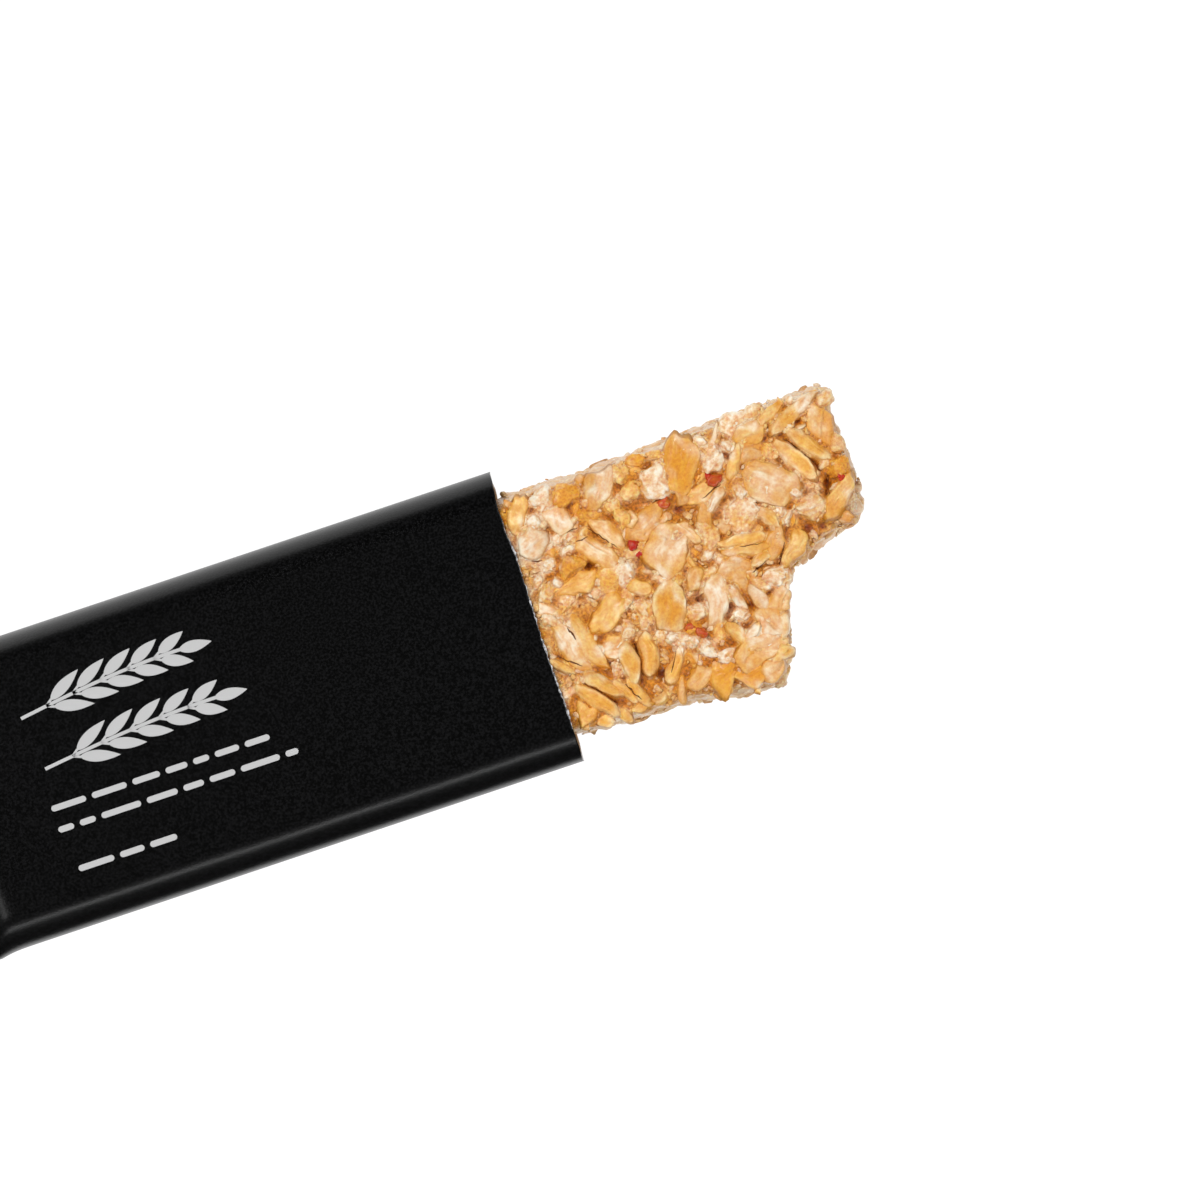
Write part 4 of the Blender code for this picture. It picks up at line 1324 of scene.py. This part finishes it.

# %% [markdown]
# The skin's colour comes from these things. It takes the tone of the nearest piece, because
# the syrup there is thin. It turns amber in hollows, partly where syrup gathers and partly as
# painted warm shade: a hollow is where the averaged surface lies above the surface itself. The
# deepest hollows, the clefts and the pits are painted with a dark shade. And it has grains of
# oat dust.

# %% Syrup colour and grain
SKIN_SINK = 0.14
AMBER_POOLS = [  # x, y, radius: where syrup lies thick and browned
    (11.5, 12.0, 2.6), (9.6, 15.2, 2.2), (7.0, 4.0, 2.6), (19.5, 14.0, 2.6), (25.0, 9.0, 2.2),
    (28.0, 12.0, 2.4), (48.2, 6.4, 2.4), (32.0, 10.6, 2.0), (21.6, -9.2, 2.4), (23.0, -16.2, 3.6),
    (27.0, -17.6, 3.2), (14.8, -13.4, 1.9), (18.0, -16.0, 3.4), (42.2, -0.6, 2.6),
    (47.8, 13.8, 3.0), (3.0, -14.8, 3.2), (6.8, -10.4, 1.8), (30.2, -8.2, 1.4), (33.2, -4.6, 1.6),
    (12.6, -15.4, 2.6),
]
DRY_SPOTS = [  # x, y, radius: where it is dry and whitish
    (4.5, 10.5, 4.0), (7.0, 15.5, 2.4), (14.5, 14.5, 2.8), (22.8, 12.8, 2.6), (31.5, 13.5, 2.6),
    (21.8, 3.2, 3.4), (14.3, 1.9, 1.6), (36.0, 17.2, 2.6), (38.0, 8.0, 2.4), (33.6, 6.0, 2.4),
    (42.5, 4.0, 3.0), (25.6, -6.0, 2.2), (34.6, -5.6, 2.4), (3.5, -5.0, 2.4), (9.0, -8.0, 1.8),
    (22.5, -12.6, 2.8), (29.0, -12.5, 3.4), (30.0, -18.4, 2.6), (28.5, -8.5, 2.0),
    (46.5, 17.0, 2.2),
]
CLEFTS = [  # x, y to x, y, half width: cracks in and between oats, sunk and painted with dark shade
    (42.4, 12.6, 45.9, 7.2, 0.26), (12.5, -8.4, 12.3, -12.8, 0.26),
    (3.9, -11.4, 7.2, -15.6, 0.26), (11.3, 9.8, 14.5, 5.6, 0.16), (3.9, -2.9, 4.5, -4.9, 0.16),
    (31.9, -3.9, 34.1, -2.9, 0.14), (35.9, -3.9, 37.6, -1.2, 0.16),
    (8.9, -13.2, 10.2, -16.4, 0.2), (45.6, 3.4, 46.6, 6.0, 0.2),
]
PASTE, PASTE_PALE = linear("#cd923f"), linear("#e8c080")
# The crevice colour is painted dark shade for deep hollows, clefts and pits. The syrup amber is
# browned syrup in pools and hollows, and also painted warm shade in the hollows.
SYRUP_AMBER_AND_SHADE, CREVICE_SHADE = linear("#c87e1e"), linear("#843a04")
SIDE_PALE = linear("#e3c8a6")
SOAKED, DRY = linear("#e29c2e"), linear("#fbf3de")


def kd_tree(points):
    tree = KDTree(len(points))
    for k, place in enumerate(points):
        tree.insert(place, k)
    tree.balance()
    return tree


def nearest_colours(points, heaps):
    tree = kd_tree(np.concatenate([heap[0] for heap in heaps]))
    colours = np.concatenate([heap[2] for heap in heaps])
    return colours[[tree.find(place)[1] for place in points]]


def blend(first, second, share):
    share = np.clip(share, 0, 1)[:, None]
    return first * (1 - share) + second * share


def spots(points, places):
    """1 at the middle of each round place on the top and 0 away from it."""
    found = np.zeros(len(points))
    for x, y, radius in places:
        near = ((points[:, 0] - x) ** 2 + (points[:, 1] - y) ** 2) / radius ** 2
        found = np.maximum(found, np.exp(-near) * ease((points[:, 2] - 11.5) / 2))
    return found


def soaked(points, colours, most):
    """Blotches a millimetre or two across: syrup-soaked and amber, or dry and whitish."""
    soak = 0.45 * ripple(points, 4.5, 81) + 0.3 * ripple(points, 2.0, 82)
    soak = soak + 0.8 * spots(points, AMBER_POOLS) - 0.8 * spots(points, DRY_SPOTS)
    colours = blend(colours, SOAKED, most * ease(soak / 0.9))
    pale = 0.75 * ease((-0.1 - soak) / 0.8)
    return blend(colours, DRY, pale)


def side_share(points):
    """How pale a place is below the top: paler higher up the cut sides, less so on the break and at
    the foot.
    """
    broken = on_break(points[:, 0], points[:, 1])
    return (0.3 + 0.3 * ease((points[:, 2] - 5) / 4)) * (1 - 0.55 * broken)


def grain_skin(points, normals):
    """Sinks the skin a little, grains it and colours it. Returns points, colours, painted shade."""
    grain = ripple(points, 1.0, 61) * 0.5 + ripple(points, 0.55, 62) * 0.5
    hollow = ((averaged(points, skin_faces, 14) - points) * normals).sum(1)
    hollow = averaged(hollow[:, None], skin_faces, 1)[:, 0]
    sink = (SKIN_SINK + 0.05 * ripple(points, 3.0, 63)) * (1 - ease((hollow - 0.02) / 0.12))
    moved = points + normals * (0.07 * grain - sink)[:, None]
    high = ease((points[:, 2] - 11.5) / 2)
    on_top = ease((normals[:, 2] - 0.1) / 0.5) * high
    pool = spots(points, AMBER_POOLS) * on_top
    dark = np.zeros(len(points))
    # Clefts and pits are sunk, and painted with dark shade.
    for x0, y0, x1, y1, half in CLEFTS:
        run = np.array([x1 - x0, y1 - y0])
        from_start = points[:, :2] - (x0, y0)
        share = np.clip(from_start @ run / (run @ run), 0, 1)[:, None]
        off = np.linalg.norm(from_start - share * run, axis=1)
        near = np.exp(-(off / half) ** 2) * high
        moved[:, 2] -= 0.8 * near
        dark = np.maximum(dark, ease(1.3 * near))
    for x, y, radius, depth in PITS:
        away = (points[:, 0] - x) ** 2 + (points[:, 1] - y) ** 2
        near = np.exp(-away / (0.75 * radius) ** 2)
        moved[:, 2] -= depth * near * high
        dark = np.maximum(dark, ease(near * 1.5 - 0.3) * high)
    colours = blend(np.tile(PASTE, (len(points), 1)), PASTE_PALE,
                    ease(0.5 + 0.45 * ripple(points, 1.5, 65) + 0.25 * grain))
    colours = blend(colours, nearest_colours(points, heaps), np.full(len(points), 0.55))
    colours = soaked(points, colours, 0.85)
    colours = blend(colours, SIDE_PALE, side_share(points) * (1 - on_top))
    # Hollows turn amber: partly syrup that gathers there, partly painted warm shade.
    amber = 0.75 * pool + 0.85 * ease((hollow - 0.02) / 0.18) + 0.12 * ripple(points, 3.0, 64)
    colours = blend(colours, SYRUP_AMBER_AND_SHADE, amber * (0.45 + 0.55 * on_top))
    # The deepest hollows are painted with dark shade.
    dark = np.maximum(0.9 * ease((hollow - 0.12) / 0.26), dark)
    return moved, blend(colours, CREVICE_SHADE, dark), dark


skin_points, skin_colours, skin_painted_shade = grain_skin(skin_points, skin_normals)
skin_tree = BVHTree.FromPolygons(skin_points.tolist(), skin_faces.tolist())
print("syrup skin coloured")

# %% [markdown]
# Syrup also stains each piece where it comes up out of the skin, and the same amber is painted
# warm shade at that waterline. The distance from the skin to each point of a piece says how
# deep the stain and shade are: amber at the waterline, and the piece's own colour half a
# millimetre above it.

# %% Stain and shade the pieces at the waterline
def stain(heap):
    points, faces, colours, along = heap
    above = np.zeros(len(points))
    for k, place in enumerate(points):
        spot, normal, _, _ = skin_tree.find_nearest(place)
        above[k] = (Vector(place) - spot).dot(normal)
    colours = soaked(points, colours, 0.55)
    patchy = 0.06 * ripple(points, 1.8, 67)
    share = 0.7 * (1 - ease((above + patchy - 0.02) / 0.34))
    colours = blend(colours, STAIN_AND_SHADE, share)
    low = 1 - ease((points[:, 2] - 12.6) / 1.4)
    return points, faces, blend(colours, SIDE_PALE, side_share(points) * low), along


heaps = [stain(heap) for heap in heaps]
print("pieces stained")

# %% [markdown]
# ### Food materials
#
# Oats, puffed grain and syrup all let light in: it scatters a little way and comes out warmer.
# The syrup skin gets subsurface scattering for that, with a longer reach for red than for
# blue. On thin flakes that overlap, scattering turns the rims grey, so the rims and undersides
# of flakes, and the undersides of puffs, carry a painted warm shade instead. The colour of each
# point is painted on the mesh. The shader adds what is finer than that: streaks along a flake,
# mottling, grains of starch, and a coat of syrup. Baked starch is rough. Syrup over it is
# smooth, with an IOR near 1.48.

# %% Material for baked pieces
SYRUP_IOR = 1.48
GRAIN_MM = 0.42


def baked(name, streak_mm, mottle_mm, mottle, speckle, rough, coat, bump_mm, scatter=0.0):
    """Starch that is tinted by the mesh's colours, streaked or mottled, with a syrup coat."""
    made, tree, shader = new_material(
        name, Roughness=rough, IOR=1.45, Subsurface_Weight=scatter,
        Subsurface_Radius=(1.0, 0.9, 0.8), Subsurface_Scale=0.6 * MM, Coat_Weight=coat,
        Coat_Roughness=0.18, Coat_IOR=SYRUP_IOR)
    tint = add_node(tree, "ShaderNodeAttribute", attribute_name="tint")
    grain = add_node(tree, "ShaderNodeAttribute", attribute_name="along")
    stretch = add_node(tree, "ShaderNodeMapping", {"Vector": grain.outputs["Vector"]},
                       Scale=(0.3 / streak_mm, 1 / streak_mm, 1.0))
    streaks = add_node(tree, "ShaderNodeTexNoise", {"Vector": stretch.outputs["Vector"]},
                       Scale=1.0, Detail=3.0).outputs["Fac"]
    patches = noise(tree, mottle_mm, 4.0, Roughness=0.6)
    fine = noise(tree, GRAIN_MM, 3.0, Roughness=0.65)
    stain_share = add_node(tree, "ShaderNodeMapRange", {"Value": patches},
                           From_Min=0.38, From_Max=0.68, To_Max=mottle).outputs["Result"]
    grains = add_node(tree, "ShaderNodeMapRange", {"Value": fine},
                      From_Min=0.35, From_Max=0.65, To_Min=0.2, To_Max=0.8).outputs["Result"]
    colour = mix(tree, "MULTIPLY", stain_share, tint.outputs["Color"], rgba("#e6ac55"))
    colour = mix(tree, "SOFT_LIGHT", 0.3, colour, streaks)
    colour = mix(tree, "OVERLAY", speckle, colour, grains)
    tree.links.new(colour, shader.inputs["Base Color"])
    both = add_node(tree, "ShaderNodeMath", {0: streaks, 1: fine}, operation="ADD")
    bump(tree, shader, both.outputs["Value"], 0.7, bump_mm)
    return made


oat_flake = baked("rolled_oat_in_syrup", 0.5, 2.6, 0.25, 0.28, 0.38, 0.35, 0.13)
puffed_rice = baked("puffed_rice", 1.2, 1.8, 0.2, 0.55, 0.4, 0.3, 0.18)
syrup_paste = baked("syrup_and_oat_dust", 0.8, 1.4, 0.3, 0.75, 0.4, 0.3, 0.22, 0.3)
print("food materials:", oat_flake.name, puffed_rice.name, syrup_paste.name)


# %% Make the meshes
def add_piece(name, arrays, material):
    points, faces, colours, along = arrays
    made = mesh_from(name, points, faces, [material], colours, along)
    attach(made, "root")
    print(name, len(made.data.polygons), "faces")
    return made


oat_heap = add_piece("rolled_oats", heaps[0], oat_flake)
puff_heap = add_piece("puffed_grain", heaps[1], puffed_rice)
shard_heap = add_piece("oat_shards", heaps[2], oat_flake)
syrup = add_piece("syrup_and_crumb", (skin_points, skin_faces, skin_colours, skin_points),
                  syrup_paste)

# %% [markdown]
# Rolled oats crack along their crease, and the shade in the crack shows as a dark hair line.
# It is much finer than a flake's own mesh, so each crack is a ribbon of its own, painted dark
# brown for that shade and pointed at both ends. Rays cast from above find the height of the
# flake under it.

# %% Cracks in the oats
CRACKS = [  # x, y to x, y, width
    (11.3, 9.8, 14.5, 5.6, 0.26), (3.9, -2.9, 4.6, -5.0, 0.3), (31.8, -3.9, 34.2, -2.9, 0.24),
    (35.8, -4.0, 37.6, -1.2, 0.26), (9.2, -13.4, 10.9, -16.2, 0.22), (9.0, 8.4, 10.9, 8.5, 0.2),
    (8.2, 10.2, 9.9, 10.4, 0.2), (2.0, 7.7, 3.6, 7.3, 0.2), (1.2, -6.3, 4.2, -9.0, 0.22),
    (46.0, 3.2, 46.6, 5.6, 0.22), (31.2, 0.2, 34.6, -0.3, 0.16), (16.1, -13.9, 17.8, -11.2, 0.16),
    (42.3, 12.9, 43.6, 11.0, 0.22), (12.4, -8.2, 12.5, -9.6, 0.24), (28.3, 8.6, 31.6, 9.7, 0.16),
]
# The cracks' dark brown is painted shade.
CRACK_SHADE = linear("#6b370f")
piece_trees = [BVHTree.FromPolygons(heap[0].tolist(), heap[1].tolist()) for heap in heaps]


def height_under(x, y):
    start, down = Vector((x, y, 30)), Vector((0, 0, -1))
    hits = [tree.ray_cast(start, down)[0] for tree in [*piece_trees, skin_tree]]
    return max(hit.z for hit in hits if hit is not None)


def crack(x0, y0, x1, y1, width):
    t = np.linspace(0, 1, 26)
    run = np.array([x1 - x0, y1 - y0])
    side = np.array([-run[1], run[0]]) / np.linalg.norm(run)
    middle = np.array([x0, y0]) + t[:, None] * run
    wander = 0.1 * ripple(np.column_stack([middle, 0 * t]), 1.3, 77)
    middle = middle + wander[:, None] * side
    half = (0.5 * width * np.sin(np.pi * t) ** 0.6 + 0.01)[:, None]
    z = np.array([height_under(x, y) for x, y in middle]) + 0.02
    one, other = (np.column_stack([middle + way * half * side, z]) for way in (1, -1))
    return ribbon(one, other, 0.05)


crack_points, crack_faces = joined([crack(*row) for row in CRACKS])
crack_colours = np.tile(CRACK_SHADE, (len(crack_points), 1))
outward(add_piece("cracks", (crack_points, crack_faces, crack_colours, crack_points), oat_flake))

# %% [markdown]
# ### Crumbs and berries
#
# Loose grains of crisped rice and oat dust stick to the syrup, most of them under a
# millimetre. Each is set on a random face of the syrup skin, but only where the sky shows
# from it: a ray sent out along the face's normal has to miss every piece. A few bits of dried
# berry are the only red in the bar.

# %% Crumbs on the open syrup
CRUMB_TRIES = 3600


def open_faces(rng, tries):
    """Places on the syrup skin that no piece covers: (point, normal)."""
    quads = skin_points[skin_faces]
    centre = quads.mean(1)
    normal = np.cross(quads[:, 2] - quads[:, 0], quads[:, 3] - quads[:, 1])
    area = np.linalg.norm(normal, axis=1)
    normal = normal / area[:, None]
    ragged = (centre[:, 0] > 31) & ((centre[:, 1] < 1) | (centre[:, 0] > 49.5))
    # Crumbs stay out of the places painted with dark shade.
    weight = area * (centre[:, 0] > 0.4) * (skin_painted_shade[skin_faces].max(1) < 0.25)
    weight = weight * np.where((normal[:, 2] > 0.35) | ragged, 1.0, 0.08)
    for k in rng.choice(len(centre), tries, p=weight / weight.sum()):
        start, aim = Vector(centre[k] + normal[k] * 0.02), Vector(normal[k])
        if all(tree.ray_cast(start, aim, 3.0)[0] is None for tree in piece_trees):
            yield centre[k], normal[k]


def scatter_crumbs(rng):
    crumbs, skin = Heap(), kd_tree(skin_points)
    for point, facing in open_faces(rng, CRUMB_TRIES):
        size = 0.32 + 0.75 * rng.random() ** 3
        shade = str(rng.choice(["cream", "cream", "golden", "white", "straw", "tan"]))
        length, detail = size * rng.uniform(1, 1.6), 2 if size > 0.45 else 1
        points, faces, own, along = puff(length, size, size * 0.7, shade, rng, detail, 0.2, 0.35)
        colours = 0.45 * own + 0.55 * skin_colours[skin.find(point)[1]]
        crumbs.add((points, faces, colours, along), lying(facing, rng.uniform(0, 360), rng, 20),
                   point - facing * size * 0.08)
    return crumbs


crumbs = scatter_crumbs(rng)
crumb_heap = add_piece("crumbs", crumbs.arrays(), puffed_rice)

# %% Dried berry
BERRIES = [  # shade, x, y, size, lift
    ("berry", 16.8, 5.2, 1.7, 0.5), ("berry", 17.3, 3.7, 1.5, 0.45),
    ("peel", 30.9, 10.4, 2.3, 0.3), ("berry", 30.4, 11.2, 0.9, 0.3),
    ("berry", 48.0, 5.1, 1.2, 0.4), ("peel", 22.2, -9.8, 1.7, 0.3),
    ("peel", 21.1, -8.4, 1.2, 0.3), ("peel", 22.4, 9.9, 1.5, 0.0),
]
SHADES["berry"], SHADES["peel"] = ("#b81c0c", "#d8431c"), ("#bf4413", "#e08a35")
WRINKLE_MM = 0.5


def dried_berry():
    made, tree, shader = new_material(
        "dried_strawberry", Roughness=0.35, IOR=1.46, Subsurface_Weight=0.4,
        Subsurface_Radius=(1.0, 0.2, 0.1), Subsurface_Scale=0.8 * MM, Coat_Weight=0.6,
        Coat_Roughness=0.15)
    tint = add_node(tree, "ShaderNodeAttribute", attribute_name="tint")
    skin = noise(tree, WRINKLE_MM, 3.0)
    colour = mix(tree, "SOFT_LIGHT", 0.5, tint.outputs["Color"], skin)
    tree.links.new(colour, shader.inputs["Base Color"])
    bump(tree, shader, skin, 0.7, 0.12)
    return made


berries = Heap()
for shade, x, y, size, lift in BERRIES:
    lump = puff(size, size * 0.8, size * 0.7, shade, rng, 3, 0.25)
    berries.add(lump, lying(UP, rng.uniform(0, 360), rng, 20), (x, y, BASE_TOP + lift))
berry_heap = add_piece("dried_berry", berries.arrays(), dried_berry())

# %% [markdown]
# Syrup glints. The glint light is linked to the bar's pieces alone, so the film beside them
# stays dark.

# %% Link the glint light
syrupy = bpy.data.collections.new("takes_the_glint")
for piece in (oat_heap, puff_heap, shard_heap, syrup, crumb_heap, berry_heap):
    syrupy.objects.link(piece)
glint.light_linking.receiver_collection = syrupy

# %% [markdown]
# ### Inside the wrapper
#
# The rest of the bar lies in the film, where only its end can be glimpsed past the mouth. It
# is a plain block that carries the same paste material and runs from the visible part to the
# sealed end.

# %% Hidden part of the bar
HIDDEN_FROM = BAR_LOW.x / MM - MOUTH_X
HIDDEN_HALF_WIDTH, HIDDEN_STEPS = 17.9, 48


def hidden_block():
    xs = [HIDDEN_FROM, HIDDEN_FROM + 0.8, HIDDEN_FROM + 3.0, HIDDEN_FROM + 6.0,
          *np.linspace(HIDDEN_FROM + 12, INSIDE_END + 0.5, 12)]
    turn = np.linspace(0, 2 * np.pi, HIDDEN_STEPS, endpoint=False)
    power = 0.28  # 1 would make the section an ellipse, 0 a rectangle
    shape_y = np.sign(np.cos(turn)) * np.abs(np.cos(turn)) ** power
    shape_z = np.sign(np.sin(turn)) * np.abs(np.sin(turn)) ** power
    middle, half_high = (CORE_LOW + CORE_TOP) / 2, (CORE_TOP - CORE_LOW) / 2
    rings = []
    for x in xs:
        near_end = 1 - ease((x - HIDDEN_FROM) / 7)
        high = half_high * (1 - 0.45 * near_end)
        wide = HIDDEN_HALF_WIDTH * (1 - 0.10 * near_end)
        ring = np.column_stack([np.full(HIDDEN_STEPS, x), wide * shape_y, middle + high * shape_z])
        bumps = 0.12 * ripple(ring, 4, 71)
        rings.append(ring + np.column_stack([0 * bumps, -bumps ** 2, -np.abs(bumps)]))
    points, faces = closed_loft(rings)
    return points, faces, np.tile(PASTE_PALE, (len(points), 1)), points


hidden = add_piece("bar_inside", hidden_block(), syrup_paste)
outward(hidden)
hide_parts("bar")
